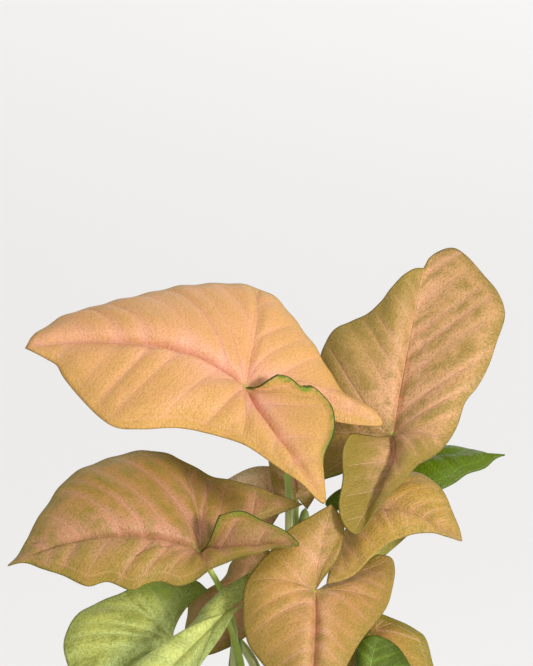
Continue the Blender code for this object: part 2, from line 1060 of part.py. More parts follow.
def add_pot():
    """The pot: a tapered wall, a collar rim and a floor with its drain holes."""
    collar = POT_HEIGHT - RIM_HEIGHT
    profile = [
        (0, 0),
        (FOOT_RADIUS - EDGE_ROUND, 0),
        (FOOT_RADIUS, EDGE_ROUND),
        (BODY_TOP_RADIUS, collar - COLLAR_SLOPE),
        (RIM_RADIUS - EDGE_ROUND, collar),
        (RIM_RADIUS, collar + EDGE_ROUND),
        (RIM_RADIUS + COLLAR_LEAN, POT_HEIGHT - EDGE_ROUND),
        (RIM_RADIUS + COLLAR_LEAN - EDGE_ROUND, POT_HEIGHT),
        (inner_radius(POT_HEIGHT) + EDGE_ROUND, POT_HEIGHT),
        (inner_radius(POT_HEIGHT - EDGE_ROUND), POT_HEIGHT - EDGE_ROUND),
        (inner_radius(FLOOR + FLOOR_CHAMFER), FLOOR + FLOOR_CHAMFER),
        (inner_radius(FLOOR) - FLOOR_CHAMFER, FLOOR),
        (0, FLOOR),
    ]
    pot = add_object("pot", turned("pot", profile, POT_SIDES), finish("pot", CLAY, CLAY_ROUGHNESS))
    for hole in range(DRAIN_HOLES):
        turn = math.tau * hole / DRAIN_HOLES + math.pi / 2
        centre = (DRAIN_CIRCLE * math.cos(turn), DRAIN_CIRCLE * math.sin(turn))
        cut_from(pot, f"drain_{hole + 1}", drain_cutter(f"drain_{hole + 1}", centre))


def drain_cutter(name, centre):
    """A round pin that stands through the pot's floor."""
    shape = bmesh.new()
    bmesh.ops.create_cone(
        shape,
        cap_ends=True,
        segments=DRAIN_SIDES,
        radius1=DRAIN_RADIUS * MM,
        radius2=DRAIN_RADIUS * MM,
        depth=FLOOR * 3 * MM,
    )
    bmesh.ops.translate(shape, verts=shape.verts, vec=(centre[0] * MM, centre[1] * MM, 0))
    mesh = bpy.data.meshes.new(name)
    shape.to_mesh(mesh)
    shape.free()
    return mesh


def cut_from(piece, name, mesh):
    """Cut a mesh's shape out of a piece."""
    cutter = bpy.data.objects.new(f"{name}_cutter", mesh)
    bpy.context.scene.collection.objects.link(cutter)
    cutter.hide_render = True
    cutter.display_type = "WIRE"
    cut = piece.modifiers.new(name, "BOOLEAN")
    cut.operation = "DIFFERENCE"
    cut.solver = "EXACT"
    cut.object = cutter


def soil_height(radius, angle):
    """The height of the soil's crumbly surface, lowest at the pot's wall."""
    rough = math.sin(3 * angle + radius * 0.31) + math.sin(7 * angle - radius * 0.47)
    rough += math.sin(radius * 0.9 + 2 * angle)
    return SOIL_TOP + SOIL_CROWN - radius**2 / SOIL_FALL + SOIL_RELIEF * rough


def add_soil():
    """The potting soil, which fills the pot's inside and has a plain hole for each stem."""
    shape = bmesh.new()
    rings = []
    outer = inner_radius(SOIL_TOP) - GAP
    for step in range(1, SOIL_RINGS):
        radius = outer * step / SOIL_RINGS
        rings.append(soil_ring(shape, radius, lambda angle, r=radius: soil_height(r, angle)))
    rings.append(soil_ring(shape, outer, lambda angle: SOIL_TOP))
    wall_foot = FLOOR + FLOOR_CHAMFER
    flat = inner_radius(FLOOR) - FLOOR_CHAMFER
    rings.append(soil_ring(shape, inner_radius(wall_foot) - GAP, lambda angle: wall_foot + GAP))
    rings.append(soil_ring(shape, flat - GAP, lambda angle: FLOOR + GAP))
    top = shape.verts.new((0, 0, soil_height(0, 0) * MM))
    bottom = shape.verts.new((0, 0, (FLOOR + GAP) * MM))
    for first, second in zip(rings[0], rings[0][1:] + rings[0][:1]):
        shape.faces.new((top, first, second))
    for inner, outer_ring in zip(rings, rings[1:]):
        join_rings(shape, inner, outer_ring)
    for first, second in zip(rings[-1], rings[-1][1:] + rings[-1][:1]):
        shape.faces.new((bottom, second, first))
    mesh = bpy.data.meshes.new("soil")
    shape.to_mesh(mesh)
    shape.free()
    mesh.shade_smooth()
    soil = add_object("soil", mesh, finish("soil", PEAT, PEAT_ROUGHNESS))
    cut_stem_holes(soil)


def soil_ring(shape, radius, height):
    """A ring of the soil's points, in line with the pot's sides."""
    angles = [math.tau * side / POT_SIDES for side in range(POT_SIDES)]
    return [
        shape.verts.new((radius * math.cos(a) * MM, radius * math.sin(a) * MM, height(a) * MM))
        for a in angles
    ]


def join_rings(shape, inner, outer):
    """A band of triangles between two rings."""
    for index, start in enumerate(inner):
        after = (index + 1) % len(inner)
        shape.faces.new((start, outer[index], outer[after]))
        shape.faces.new((start, outer[after], inner[after]))


def cut_stem_holes(soil):
    """Cut a plain round hole in the soil for each stem."""
    for name in STEMS:
        line = smooth_curve(STEMS[name], STEM_STEPS)
        line[0] -= (line[1] - line[0]) / np.linalg.norm(line[1] - line[0]) * GAP
        inside = [point for point in line if point[2] < HOLE_TOP]
        radii = [STEM_FOOT_RADIUS + HOLE_CLEARANCE] * len(inside)
        tube = add_tube(f"{name}_line", np.array(inside), radii, 2, soil.data.materials[0])
        mesh = bpy.data.meshes.new_from_object(tube)
        bpy.data.objects.remove(tube, do_unlink=True)
        cut_from(soil, name, mesh)


def main():
    """Build the whole plant."""
    clear_scene()
    add_pot()
    add_soil()
    for name in STEMS:
        add_stem(name)
    for name, leaf in LEAVES.items():
        add_blade(f"leaf_{name}", leaf)
        add_stalk(f"stalk_{name}", leaf)


if __name__ == "__main__":
    main()
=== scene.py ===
"""The looks of an arrowhead plant in its pot, laid out as a Blender add-on and run as a script.

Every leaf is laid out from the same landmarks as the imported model's solids, at finer steps.
Landmarks are in millimetres and the meshes are made in metres. The plant is seen from -y.
"""

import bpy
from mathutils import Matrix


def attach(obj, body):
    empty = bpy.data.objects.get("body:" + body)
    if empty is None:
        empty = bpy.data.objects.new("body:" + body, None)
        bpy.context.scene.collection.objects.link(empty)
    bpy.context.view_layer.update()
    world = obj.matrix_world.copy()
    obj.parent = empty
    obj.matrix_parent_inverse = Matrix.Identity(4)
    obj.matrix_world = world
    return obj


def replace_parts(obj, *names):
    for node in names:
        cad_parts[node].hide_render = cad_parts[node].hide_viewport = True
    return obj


bl_info = {
    "name": "Arrowhead Plant",
    "version": (1, 0, 0),
    "blender": (4, 5, 0),
    "location": "3D View > Sidebar > Plant",
    "description": "Builds a potted arrowhead plant with veined leaves, sheathed stalks and soil",
    "category": "Add Mesh",
}

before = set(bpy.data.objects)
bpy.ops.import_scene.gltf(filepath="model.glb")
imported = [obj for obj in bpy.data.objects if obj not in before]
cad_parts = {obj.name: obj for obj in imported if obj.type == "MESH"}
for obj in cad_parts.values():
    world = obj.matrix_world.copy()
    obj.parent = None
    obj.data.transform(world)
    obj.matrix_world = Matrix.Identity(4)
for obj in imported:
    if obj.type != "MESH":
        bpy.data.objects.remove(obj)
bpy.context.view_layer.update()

import math
import random
from dataclasses import dataclass
from types import SimpleNamespace

import bmesh
import bpy
import numpy as np
from bpy.props import FloatProperty, FloatVectorProperty, IntProperty, PointerProperty
from mathutils import Matrix, Vector, noise

MM = 0.001
BODY = "root"
GAP = 0.3
MERGE = 1e-6

# The line of sight that the front leaves are laid out on
VIEW_TILT = math.radians(12)
VIEW_DISTANCE = 2400
VIEW_HEIGHT = 175
PICTURE_CENTRE = (-1.4, 133.0)
PICTURE_HEIGHT = 266.4
SENSOR = 36.0
CLIP_END = 60

# Each light's place, what it looks at, in metres, and its size
PLANT_MIDDLE = (0.0, 0.0, VIEW_HEIGHT * MM)
LIGHTS = {
    "key": ((1.75, -1.7, 0.9), PLANT_MIDDLE, 0.5),
    "fill": ((-1.6, -0.9, 1.7), PLANT_MIDDLE, 1.2),
    "back": ((0.8, 3.4, 2.2), (0.8, 3.4, 0.0), 2.0),
}
FLOOR_REACH = 20

# The leaves that the front shows come first. A blade's bump is in metres
FRONT_LEAVES = 13
LEAST_RAYS = 40
LEAST_ROWS = 24
ROW_SHARE = 0.75
FULL_LENGTH = 70
LEAF_SPREAD = 200
BLADE_BUMP = 0.0004

# Each stalk's finish, and the colour that its top blushes to
STALK_BLUSHES = {"stalk_green": "pale", "stalk_rose": "blush"}

# The surface of a blade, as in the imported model
CURVE_STEPS = 12
RIB_REACH = 0.6
NOTCH_REACH = 0.3
CREASE = 0.7
LOBE_DROOP = 1.2
FOLD_ROUND = 1.4
FAN_SHARE = 0.25
FAN_EVEN = 0.15
FAN_LIMIT = math.radians(345)

# Veins, in shares of the blade's length or in millimetres
LATERAL_SPACING = 0.155
LATERAL_LEAN = (0.30, 0.42)
LATERAL_CURVE = 0.62
LATERAL_SPREAD = 0.25
LOBE_LEAN = 0.55
LOBE_CURVE = 0.5
FIRST_RIB = math.radians(102)
FIRST_RIB_BEND = math.radians(26)
LOBE_FROM = math.radians(112)
VEIN_UNEVEN = 0.22
RIB_SLOPE = 1.8
RIB_DEPTHS = (1.0, 0.6, 0.6)
RIB_FADE = 0.7
RIB_STEP = 0.5
LOBE_SHARE = 0.8
VEIN_WANDER = 1.9
VEIN_STRENGTH = (0.72, 0.28, 2.4)
PUFF_ROUND = 0.65
RIPPLE_LENGTHS = (3.1, 7.3)
LIP_SPAN = (0.72, 0.82)

# How far each kind of relief fades in or out, from a rib, the margin or the joint, in millimetres
RIB_BAND = 4
PUFF_BAND = 7
RIPPLE_BAND = 9
LIP_BAND = 3.5
JOINT_BAND = 5

# Stems and stalks
BLADE_THICKNESS = 0.9
STEM_FOOT_RADIUS = 3.3
STEM_TOP_RADIUS = 2.4
STEM_SAMPLES = 60
STALK_FOOT_RADIUS = 1.9
STALK_TOP_RADIUS = 1.1
STALK_CAP = 0.3
STALK_FLARE = 1.5
STALK_SPREAD = 0.1
STALK_REACH = 0.4
SHEATH_FADE = 0.6
WING_TURN = 0.75
WING_WIDTH = 0.28
CHANNEL_WIDTH = 0.42
CHANNEL_DEPTH = 0.12
SHEATH_CHANNEL = 0.3
TIP_TAPER = 0.45
TIP_FROM = 0.97
SCAR_SPACING = 21.0
STEM_STEPS = 110
STEM_SIDES = 32
STEM_RINGS = 19
RING_SHARPNESS = 12
STEM_SWELL = 0.06
STEM_RIDGES = (5, 0.02)
STEM_TIP_FROM = 0.95
STEM_TIP_LEAST = 0.3
STEM_BUMP = 0.0004

# Pot and soil
POT_HEIGHT = 108
RIM_RADIUS = 60
RIM_HEIGHT = 25
FOOT_RADIUS = 41
BODY_TOP_RADIUS = 54
COLLAR_LEAN = 1
COLLAR_SLOPE = 2
WALL = 5
MOUTH_RADIUS = 53
FLOOR = 7
FLOOR_CHAMFER = 4
POT_ROUNDS = (1.4, 2.5, 2.0, 1.8, 1.8, 4.0)
SHARP_EDGE = math.radians(50)
ROUND_SHARE = 0.45
DRAIN_HOLES = 3
DRAIN_RADIUS = 4.5
DRAIN_CIRCLE = 20
DRAIN_SIDES = 40
SOIL_TOP = 97
SOIL_RELIEF = 0.55
SOIL_CROWN = 2.0
SOIL_FALL = 900
SOIL_RINGS = 44
SOIL_SEED = 7
BARK_SIZES = (1.2, 3.2)
BARK_FLATNESS = 0.35
GRIT_SIZES = (0.6, 1.4)
GRIT_FLATNESS = 0.8
BIT_WIDTHS = (0.5, 0.9)
BIT_LEAN = 0.5
BIT_LIFT = 0.15
BIT_MARGIN = 4
BIT_WOBBLE = (0.35, 900)
SOIL_MARGIN = 6
LUMPS = (0.22, 1.1)
CRUMBS = (0.75, 1.2)
SOIL_SINK = 0.6
CLAY_BUMP = 0.0004
SOIL_BUMP = 0.0008


@dataclass
class Leaf:
    """A blade's landmarks, and the stem that its stalk grows from.

    The margins run from the tip round to the notch: left and right are those of a person who
    stands where the stalk meets the blade and looks along it to the tip.
    """

    joint: tuple
    tip: tuple
    rib: tuple
    left: list
    right: list
    stem: str
    height: float
    belly: tuple = (4.0, 4.0)
    wave: tuple = (0.0, 2.0, 0.0)
    left_notch: tuple = (0.0, 0.0, 0.0)
    right_notch: tuple = (0.0, 0.0, 0.0)
    turn: float = 0.0
    lean: float = 0.35
    rise: float = 0.45
    bend: tuple = (0.0, 0.0, 0.0)
    drop: float = 0.0
    lapped: bool = False


@dataclass
class Finish:
    """The colours of one leaf, named as in LeafColours, and how strongly each shows."""

    body: str
    centre: str
    rim: str
    vein: str
    slot: str
    stalk: str = "stalk_green"
    green: float = 0.5
    blush: float = 0.6
    speckle: float = 0.4
    lines: float = 0.7
    ring: str = "vein_fawn"
    rims: tuple = (1.0, 1.0)
    lips: tuple = (0.0, 0.0)
    # How far the left half, the right half and the lobes turn to the rim colour: partly the
    # blade's own olive, partly painted shade on parts that face away from the light
    tints_and_shade: tuple = (0.0, 0.0, 0.0)
    relief: float = 1.0
    slant: float = 1.0
    shine: float = 0.38


FINISHES = {
    "top_left": Finish(
        "peach", "blush", "gold", "vein_pink", "leaf_peach", green=0.6, speckle=0.35, lines=0.8,
        ring="blush", rims=(1.2, 0.7), lips=(1.0, 0.0), tints_and_shade=(0.3, 0.15, 0.2),
    ),
    "top_right": Finish(
        "tan", "fawn", "umber", "vein_fawn", "leaf_tan", "stalk_rose", green=0.7, blush=1.2,
        speckle=0.8, ring="umber", rims=(1.8, 0.6), lips=(0.5, 0.0), tints_and_shade=(0.55, 0.0, 0.7),
        relief=0.7, slant=2.0,
    ),
    "left": Finish(
        "olive", "rosewood", "fern", "vein_rose", "leaf_olive", green=0.8, blush=1.3, speckle=0.8,
        ring="fawn", rims=(0.4, 1.2), lips=(0.6, 0.0), tints_and_shade=(0.4, 0.1, 0.0),
    ),
    "front": Finish(
        "amber", "clay_pink", "umber", "vein_rose", "leaf_peach", green=0.7, speckle=0.6,
        lines=0.5, ring="umber", rims=(1.2, 1.4), tints_and_shade=(0.25, 0.4, 0.0), relief=0.7,
    ),
    "right": Finish(
        "gold", "fawn", "moss", "vein_fawn", "leaf_gold", green=0.35, blush=0.45, lines=0.5,
        tints_and_shade=(0.1, 0.0, 0.0), relief=0.8,
    ),
    "rear_right": Finish(
        "bright", "bright", "dark", "vein_green", "leaf_bright_green", green=0.3,
        ring="vein_green",
    ),
    "low_left": Finish(
        "pale", "lime", "mid", "vein_lime", "leaf_pale_green", green=0.5, blush=1.1, speckle=0.8,
        lines=0.5, ring="mid", tints_and_shade=(0.0, 0.0, 0.9),
    ),
    "front_left": Finish(
        "lime", "pale", "mid", "vein_lime", "leaf_pale_green", green=0.35, speckle=0.6, lines=0.4,
        ring="lime", relief=0.25,
    ),
    "under_left": Finish(
        "rosewood", "fawn", "fern", "vein_rose", "leaf_rose", "stalk_rose", green=0.9,
    ),
    # The rear left leaf's body colour is partly painted light
    "rear_left": Finish("cream", "blush", "moss", "vein_pink", "leaf_gold", green=0.5),
    "centre": Finish("olive", "fawn", "fern", "vein_fawn", "leaf_olive", green=0.8, speckle=0.7),
    "low_right": Finish(
        "gold", "amber", "moss", "vein_fawn", "leaf_gold", "stalk_rose", green=0.5,
        tints_and_shade=(0.6, 0.6, 0.0),
    ),
    "small_right": Finish(
        "dark", "mid", "dark", "vein_green", "leaf_dark_green", green=0.3, lines=0.6, ring="mid",
    ),
    "low_front": Finish("mid", "pale", "dark", "vein_lime", "leaf_mid_green", ring="vein_lime"),
    "low_front_right": Finish("pale", "lime", "mid", "vein_lime", "leaf_pale_green", ring="mid"),
    "low_left_side": Finish(
        "mid", "pale", "dark", "vein_green", "leaf_mid_green", ring="vein_green",
    ),
    "low_right_side": Finish("rosewood", "fawn", "moss", "vein_rose", "leaf_rose"),
    "rear_high": Finish(
        "peach", "blush", "gold", "vein_pink", "leaf_peach", green=0.3, speckle=0.2,
    ),
    "rear_upper": Finish("gold", "amber", "moss", "vein_fawn", "leaf_gold"),
    "rear_middle": Finish("rosewood", "fawn", "moss", "vein_rose", "leaf_rose"),
    "rear_side": Finish("mid", "pale", "dark", "vein_green", "leaf_mid_green", ring="vein_green"),
    "rear_low": Finish("pale", "lime", "mid", "vein_lime", "leaf_pale_green", ring="mid"),
}


def seen(across, up, toward):
    """The place of a point that is laid out on the line of sight, as x, y, z."""
    shrink = (VIEW_DISTANCE - toward) / VIEW_DISTANCE
    right = PICTURE_CENTRE[0] + (across - PICTURE_CENTRE[0]) * shrink
    high = PICTURE_CENTRE[1] + (up - PICTURE_CENTRE[1]) * shrink
    y = high * math.sin(VIEW_TILT) - toward * math.cos(VIEW_TILT)
    z = VIEW_HEIGHT + high * math.cos(VIEW_TILT) + toward * math.sin(VIEW_TILT)
    return np.array([right, y, z])


def seen_leaf(joint, tip, rib, left, right, **rest):
    """A leaf laid out as the front shows it."""
    return Leaf(
        joint=seen(*joint),
        tip=seen(*tip),
        rib=seen(*rib),
        left=[seen(*point) for point in left],
        right=[seen(*point) for point in right],
        **rest,
    )


# Half of a standard blade, from the tip to the notch, in shares of its length and half width
HALF_OUTLINE = [
    (0.93, 0.13), (0.78, 0.40), (0.55, 0.70), (0.28, 0.93), (0.02, 1.00),
    (-0.20, 0.88), (-0.36, 0.62), (-0.42, 0.34), (-0.33, 0.15),
]


def posed_leaf(joint, tip, face, half_width, arch, fold, **rest):
    """A standard blade from joint to tip, whose upper side looks towards face."""
    joint = np.array(joint, dtype=float)
    tip = np.array(tip, dtype=float)
    length = np.linalg.norm(tip - joint)
    ahead = (tip - joint) / length
    across = np.cross(np.array(face, dtype=float), ahead)
    across /= np.linalg.norm(across)
    out = np.cross(ahead, across)

    def place(share, side):
        droop = arch * 4 * share * (1 - share) if share > 0 else arch * LOBE_DROOP * share
        lift = droop - fold * half_width * abs(side) ** FOLD_ROUND
        return joint + ahead * share * length + across * side * half_width + out * lift

    return Leaf(
        joint=joint,
        tip=tip,
        rib=place(0.5, 0.0),
        left=[place(share, side) for share, side in HALF_OUTLINE],
        right=[place(share, -side) for share, side in HALF_OUTLINE],
        **rest,
    )


# The points that each stem's axis runs through, from its foot in the soil to its growing tip
STEMS = {
    "stem_middle": [(5, 6, 66), (7, 8, 130), (11, 9, 190), (14, 8, 238)],
    "stem_left": [(-16, -2, 66), (-18, -7, 110), (-16, -12, 150), (-13, -16, 191)],
    "stem_right": [(19, -8, 66), (23, -12, 110), (26, -13, 150), (28, -12, 186)],
    "stem_rear": [(-4, 24, 66), (-3, 28, 105), (1, 29, 150), (4, 28, 194)],
}

LEAVES = {
    "top_left": seen_leaf(
        joint=(-10, 111, 26), tip=(-98, 127, 30), rib=(-48, 127.5, 32),
        left=[
            (-90, 122.8, 33), (-85.5, 120.2, 35.5), (-82.5, 115, 38), (-76, 107, 42),
            (-68, 99, 47), (-61, 95, 50), (-51, 94.5, 50), (-37, 95, 48), (-24, 92.5, 48),
            (-10, 88, 50), (2, 80, 54), (12, 73, 57), (21.5, 64.5, 58), (22, 72, 55),
            (21.5, 83, 50), (25.5, 92, 44), (25, 102, 37), (19, 109.5, 32), (13, 111, 31),
            (8.5, 114.5, 30.5), (3, 115.5, 29.5),
        ],
        right=[
            (-94, 132.4, 27), (-83, 139.6, 19), (-73, 142.4, 13.5), (-61, 146.3, 8),
            (-47, 149, 2.7), (-33, 152.2, -3), (-17, 152.6, -6), (-6, 151, -6), (3, 146.6, -4),
            (12, 135, 1), (19, 126, 5), (26, 114, 9), (31, 107.5, 12), (38, 105, 13),
            (43, 101, 15), (45, 96, 17), (36, 96, 19), (26, 97.5, 21),
        ],
        stem="stem_middle", height=214, belly=(5.0, 6.0), left_notch=(0.0, -1.5, 0.0),
        right_notch=(0.0, 0.3, 0.5), turn=-40, drop=0.25, bend=(22, 0, 0), lapped=True,
    ),
    "top_right": seen_leaf(
        joint=(49, 92, 5), tip=(61.5, 159, -27), rib=(55.5, 128, -13),
        left=[
            (57, 158.5, -24), (51, 154, -20), (44, 145, -18), (40, 141.2, -17.5),
            (33, 137.8, -17), (27, 135.2, -16), (22.3, 129, -15), (19, 118, -12), (19, 106, -9),
            (20, 94, -5), (18, 82, -3), (17, 73, 0), (24, 75, 3), (34, 79, 4),
        ],
        right=[
            (65.5, 164.6, -34), (73, 167, -36), (79, 163.5, -33), (85, 156.5, -28),
            (91, 149.5, -22), (94, 140, -16), (90.5, 129, -10), (87.5, 120, -5), (83, 111.5, 0),
            (78, 105, 4), (75, 96, 9), (71, 89, 14), (66, 84, 20), (59, 80, 27), (54, 74, 33),
            (45, 65, 40), (37, 54, 45), (33, 53, 46), (29, 57, 44), (27.5, 64, 41), (29, 75, 34),
            (29, 86, 27), (32, 93, 20),
        ],
        stem="stem_middle", height=190, belly=(4.0, 4.0), right_notch=(0.0, 0.0, 0.5),
        turn=50, drop=0.2, lapped=True,
    ),
    "left": seen_leaf(
        joint=(-28, 45, 35), tip=(-105, 40, 45), rib=(-66, 50, 46),
        left=[
            (-98, 41, 47), (-91, 38.5, 50), (-83, 36, 53), (-73, 31.6, 56), (-65, 33.4, 56),
            (-56, 30, 58), (-51, 32, 57), (-44, 33.6, 57), (-37, 31.6, 58), (-30, 34, 58),
            (-23, 38.6, 58), (-13, 43, 58), (-2, 46, 56), (6, 47.6, 55), (12, 48, 53),
            (7, 53.5, 51), (-3, 58.2, 47), (-11, 61.8, 44), (-20, 60, 41),
        ],
        right=[
            (-101, 44.2, 42), (-97, 50, 39), (-94, 56.6, 35.5), (-84, 71.5, 28), (-74, 79, 22),
            (-59, 84.5, 15), (-46, 85.5, 11), (-35, 82.2, 9), (-23, 75.4, 10), (-8, 72.4, 12),
            (3, 68.2, 15), (13, 64.5, 19),
        ],
        stem="stem_left", height=172, belly=(3.5, 5.0), left_notch=(0.0, -1.5, 0.0),
        right_notch=(0.0, 1.8, 0.0), turn=50, bend=(12, -8, 0), lapped=True,
    ),
    "front": seen_leaf(
        joint=(18, 30, 45), tip=(15, -24, 72), rib=(17.5, 5, 61),
        left=[
            (22, -11, 69), (29, -3, 64), (34, 6, 59), (38, 12, 55), (43, 18, 49), (47, 24, 43),
            (49, 31, 37), (50, 38, 31), (48.5, 43, 27.5), (43, 44.6, 27),
        ],
        right=[
            (9, -13, 69), (1, -4, 63), (-6.4, 5, 58), (-9.2, 10, 56), (-10.8, 19, 53),
            (-10, 31.6, 50), (-5, 40, 47), (1.4, 47, 45), (7, 54, 43), (13.4, 58, 41),
            (22, 63, 38), (25, 64, 37.5), (29.5, 56.5, 39), (29, 50, 42), (26.5, 42, 44.5),
        ],
        stem="stem_right", height=150, belly=(0.8, 4.5), left_notch=(-0.6, 3.8, -2.6),
        right_notch=(0.3, -0.6, 0.3), turn=-35, drop=0.3, lapped=True,
    ),
    "right": seen_leaf(
        joint=(33, 60, 18), tip=(77, 50, 25), rib=(56, 59, 22),
        left=[
            (75.6, 55, 21), (73, 61.5, 17), (69.5, 69, 14), (65.5, 73.5, 11), (59, 77, 8),
            (50, 78, 4), (40, 76, 1), (33, 73, 1), (29, 68.5, 4), (29.5, 64, 9),
        ],
        right=[
            (70.5, 51.5, 28), (65, 53, 29), (58, 52.6, 31), (52, 50.8, 33), (48, 49.2, 35),
            (44, 46, 37), (39.5, 42, 39.7), (34.5, 37, 42.5), (29, 34, 45), (22.5, 32.8, 46.6),
        ],
        stem="stem_right", height=172, belly=(3.0, 3.5), right_notch=(-1.5, 0.0, 0.0),
        turn=20,
    ),
    "rear_right": seen_leaf(
        joint=(44, 76, -16), tip=(94, 84.3, -20), rib=(68, 84, -16),
        left=[
            (89.5, 83.8, -23), (83.5, 85.6, -26), (77, 87, -29), (68, 88, -32), (56, 87.4, -34),
            (44, 86, -33), (34, 82, -28), (35, 78, -22),
        ],
        right=[
            (90, 82.4, -18), (86, 79, -14), (79, 76.5, -10), (74, 73, -7), (68, 70, -5),
            (58, 66, -8), (46, 62.5, -12), (34, 61.5, -15), (25, 62.5, -17), (22, 65, -18),
            (26, 69.5, -18), (33, 73, -17),
        ],
        stem="stem_rear", height=180, belly=(2.5, 3.0), turn=-75, drop=0.6,
    ),
    "low_left": seen_leaf(
        joint=(-39, 10, 25), tip=(-79, -33, 46), rib=(-62, -5, 40),
        left=[
            (-73, -36, 46), (-63, -37, 44), (-50, -36, 42), (-38, -30, 38), (-29, -20, 34),
            (-26, -10, 30), (-32, -1, 26),
        ],
        right=[
            (-78, -20, 42), (-79, -7, 37), (-82.4, 7, 32), (-80.6, 15, 28), (-76, 21.4, 25),
            (-69.5, 24.8, 22), (-61, 28.3, 18), (-48, 33.8, 15), (-37, 35, 14), (-29.5, 34, 15),
            (-24.9, 30.2, 17),
        ],
        stem="stem_left", height=138, belly=(3.0, 3.5), right_notch=(-2.8, 0.8, 1.0),
        turn=15,
    ),
    "front_left": seen_leaf(
        joint=(-18, 21, 44), tip=(-72, -34, 66), rib=(-43.5, -4.5, 58.5),
        left=[
            (-64, -34, 67), (-50, -28, 67), (-37, -14, 65), (-28, 0, 60), (-20, 11, 54),
            (-15, 20, 49), (-10, 25, 45),
        ],
        right=[
            (-70, -22, 60), (-62, -7, 54), (-53, 0.5, 50), (-44, 6.4, 46), (-37, 11.5, 43),
            (-31, 17, 41), (-26, 24, 40), (-19, 30.5, 39), (-11.5, 35, 38), (-7, 37, 37.5),
            (-6, 30, 40),
        ],
        stem="stem_left", height=155, belly=(1.5, 3.0), turn=50,
    ),
    "under_left": seen_leaf(
        joint=(-5, 38, -4), tip=(-33, 6, 16), rib=(-20, 24, 10),
        left=[
            (-26, 4, 17), (-17, 7, 15), (-9, 12, 12), (-2, 20, 8), (2, 29, 2), (1, 35, -2),
        ],
        right=[
            (-34, 13, 13), (-33, 20, 10), (-31.8, 25.2, 7.5), (-25.5, 27.6, 5), (-21.5, 31.6, 3),
            (-17.6, 36, 0), (-15.8, 41, -3), (-11, 44.8, -6), (-4, 47, -8.5), (0, 45.5, -9),
            (-0.5, 41.5, -7),
        ],
        stem="stem_middle", height=176, belly=(2.5, 2.5),
    ),
    "rear_left": seen_leaf(
        joint=(1, 56, -23), tip=(-66, 44, -35), rib=(-30, 56, -27),
        left=[
            (-56, 40.5, -30), (-44, 38, -25), (-32, 39, -20), (-20, 44.5, -17), (-8, 48, -16),
            (2, 49.5, -17), (3, 52, -19),
        ],
        right=[
            (-58, 50, -38), (-46, 58, -40), (-32, 66, -41), (-19, 73, -41), (-12, 77.5, -40),
            (-5, 79.4, -38), (3, 79.2, -35), (9, 76, -31), (8, 68, -27),
        ],
        stem="stem_rear", height=170, belly=(3.0, 3.0), turn=60,
    ),
    "centre": seen_leaf(
        joint=(11, 67, -10), tip=(9, 106, -23), rib=(9, 88, -13),
        left=[
            (4, 100, -21), (0, 93, -18), (-1, 86, -15), (0, 79, -14), (1, 72, -11), (3, 66, -10),
            (7, 62.5, -9),
        ],
        right=[
            (14, 99, -22), (17, 92, -20), (18.5, 85, -18), (19, 77, -17), (18.5, 69, -14),
            (15, 62.5, -10),
        ],
        stem="stem_middle", height=206, belly=(2.0, 2.0),
    ),
    "low_right": seen_leaf(
        joint=(40, 13, 34), tip=(56, -32, 48), rib=(50, -10, 45),
        left=[
            (62, -24, 45), (66, -17, 43), (68, -8, 40), (65, 1, 37), (62.2, 10.6, 35),
            (58.5, 14, 33), (51, 18, 31), (44, 20.8, 30), (39, 19.6, 31),
        ],
        right=[
            (49, -30, 48), (41, -25, 47), (35, -17, 45), (31, -8, 42), (29, 1, 39), (31, 8, 36),
        ],
        stem="stem_right", height=126, belly=(3.0, 3.0), turn=-5,
    ),
    "small_right": seen_leaf(
        joint=(37, -16, 54), tip=(66, -36, 66), rib=(52, -20, 61),
        left=[
            (64, -22, 60), (60, -8, 54), (55, 2, 50), (51, 7.6, 47), (46, 11, 46), (40, 12, 46),
            (35, 8, 46), (34, -2, 47),
        ],
        right=[
            (58, -40, 68), (48, -41, 68), (38, -37, 66), (31, -30, 62), (29, -21, 57),
            (33, -16, 53),
        ],
        stem="stem_right", height=112, belly=(2.0, 2.0), turn=-50, bend=(-4, -8, 0),
    ),
    "low_front": posed_leaf(
        joint=(-8, -47, 140), tip=(-28, -96, 100), face=(-0.2, -0.5, 0.85),
        half_width=30, arch=9, fold=0.25, wave=(1.5, 2.0, 0.5), stem="stem_left",
        height=120, turn=-30,
    ),
    "low_front_right": posed_leaf(
        joint=(50, -38, 126), tip=(84, -72, 96), face=(0.4, -0.4, 0.85), half_width=27,
        arch=9, fold=0.3, wave=(1.5, 2.0, 1.5), stem="stem_right", height=104, turn=15,
    ),
    "low_left_side": posed_leaf(
        joint=(-52, 8, 140), tip=(-104, 20, 112), face=(-0.4, 0.0, 0.9), half_width=30,
        arch=9, fold=0.3, wave=(1.5, 2.0, 2.5), stem="stem_left", height=112, turn=10,
    ),
    "low_right_side": posed_leaf(
        joint=(56, 18, 142), tip=(104, 34, 116), face=(0.4, 0.1, 0.9), half_width=29,
        arch=9, fold=0.28, wave=(1.5, 2.0, 0.0), stem="stem_rear", height=118, turn=-25,
    ),
    "rear_high": posed_leaf(
        joint=(-3, 62, 280), tip=(-50, 84, 289), face=(-0.1, 0.75, 0.65), half_width=31,
        arch=9, fold=0.22, wave=(1.5, 2.0, 1.0), stem="stem_rear", height=182, turn=-50,
        drop=0.25, bend=(16, 0, 0), rise=0.7,
    ),
    "rear_upper": posed_leaf(
        joint=(49, 66, 232), tip=(42, 96, 190), face=(0.2, 0.8, 0.5), half_width=19,
        arch=9, fold=0.22, wave=(1.5, 2.0, 0.0), stem="stem_rear", height=176, turn=-50,
    ),
    "rear_middle": posed_leaf(
        joint=(-52, 74, 210), tip=(-84, 100, 193), face=(-0.3, 0.6, 0.7), half_width=26,
        arch=10, fold=0.25, wave=(1.5, 2.0, 2.0), stem="stem_rear", height=150, turn=15,
    ),
    "rear_side": posed_leaf(
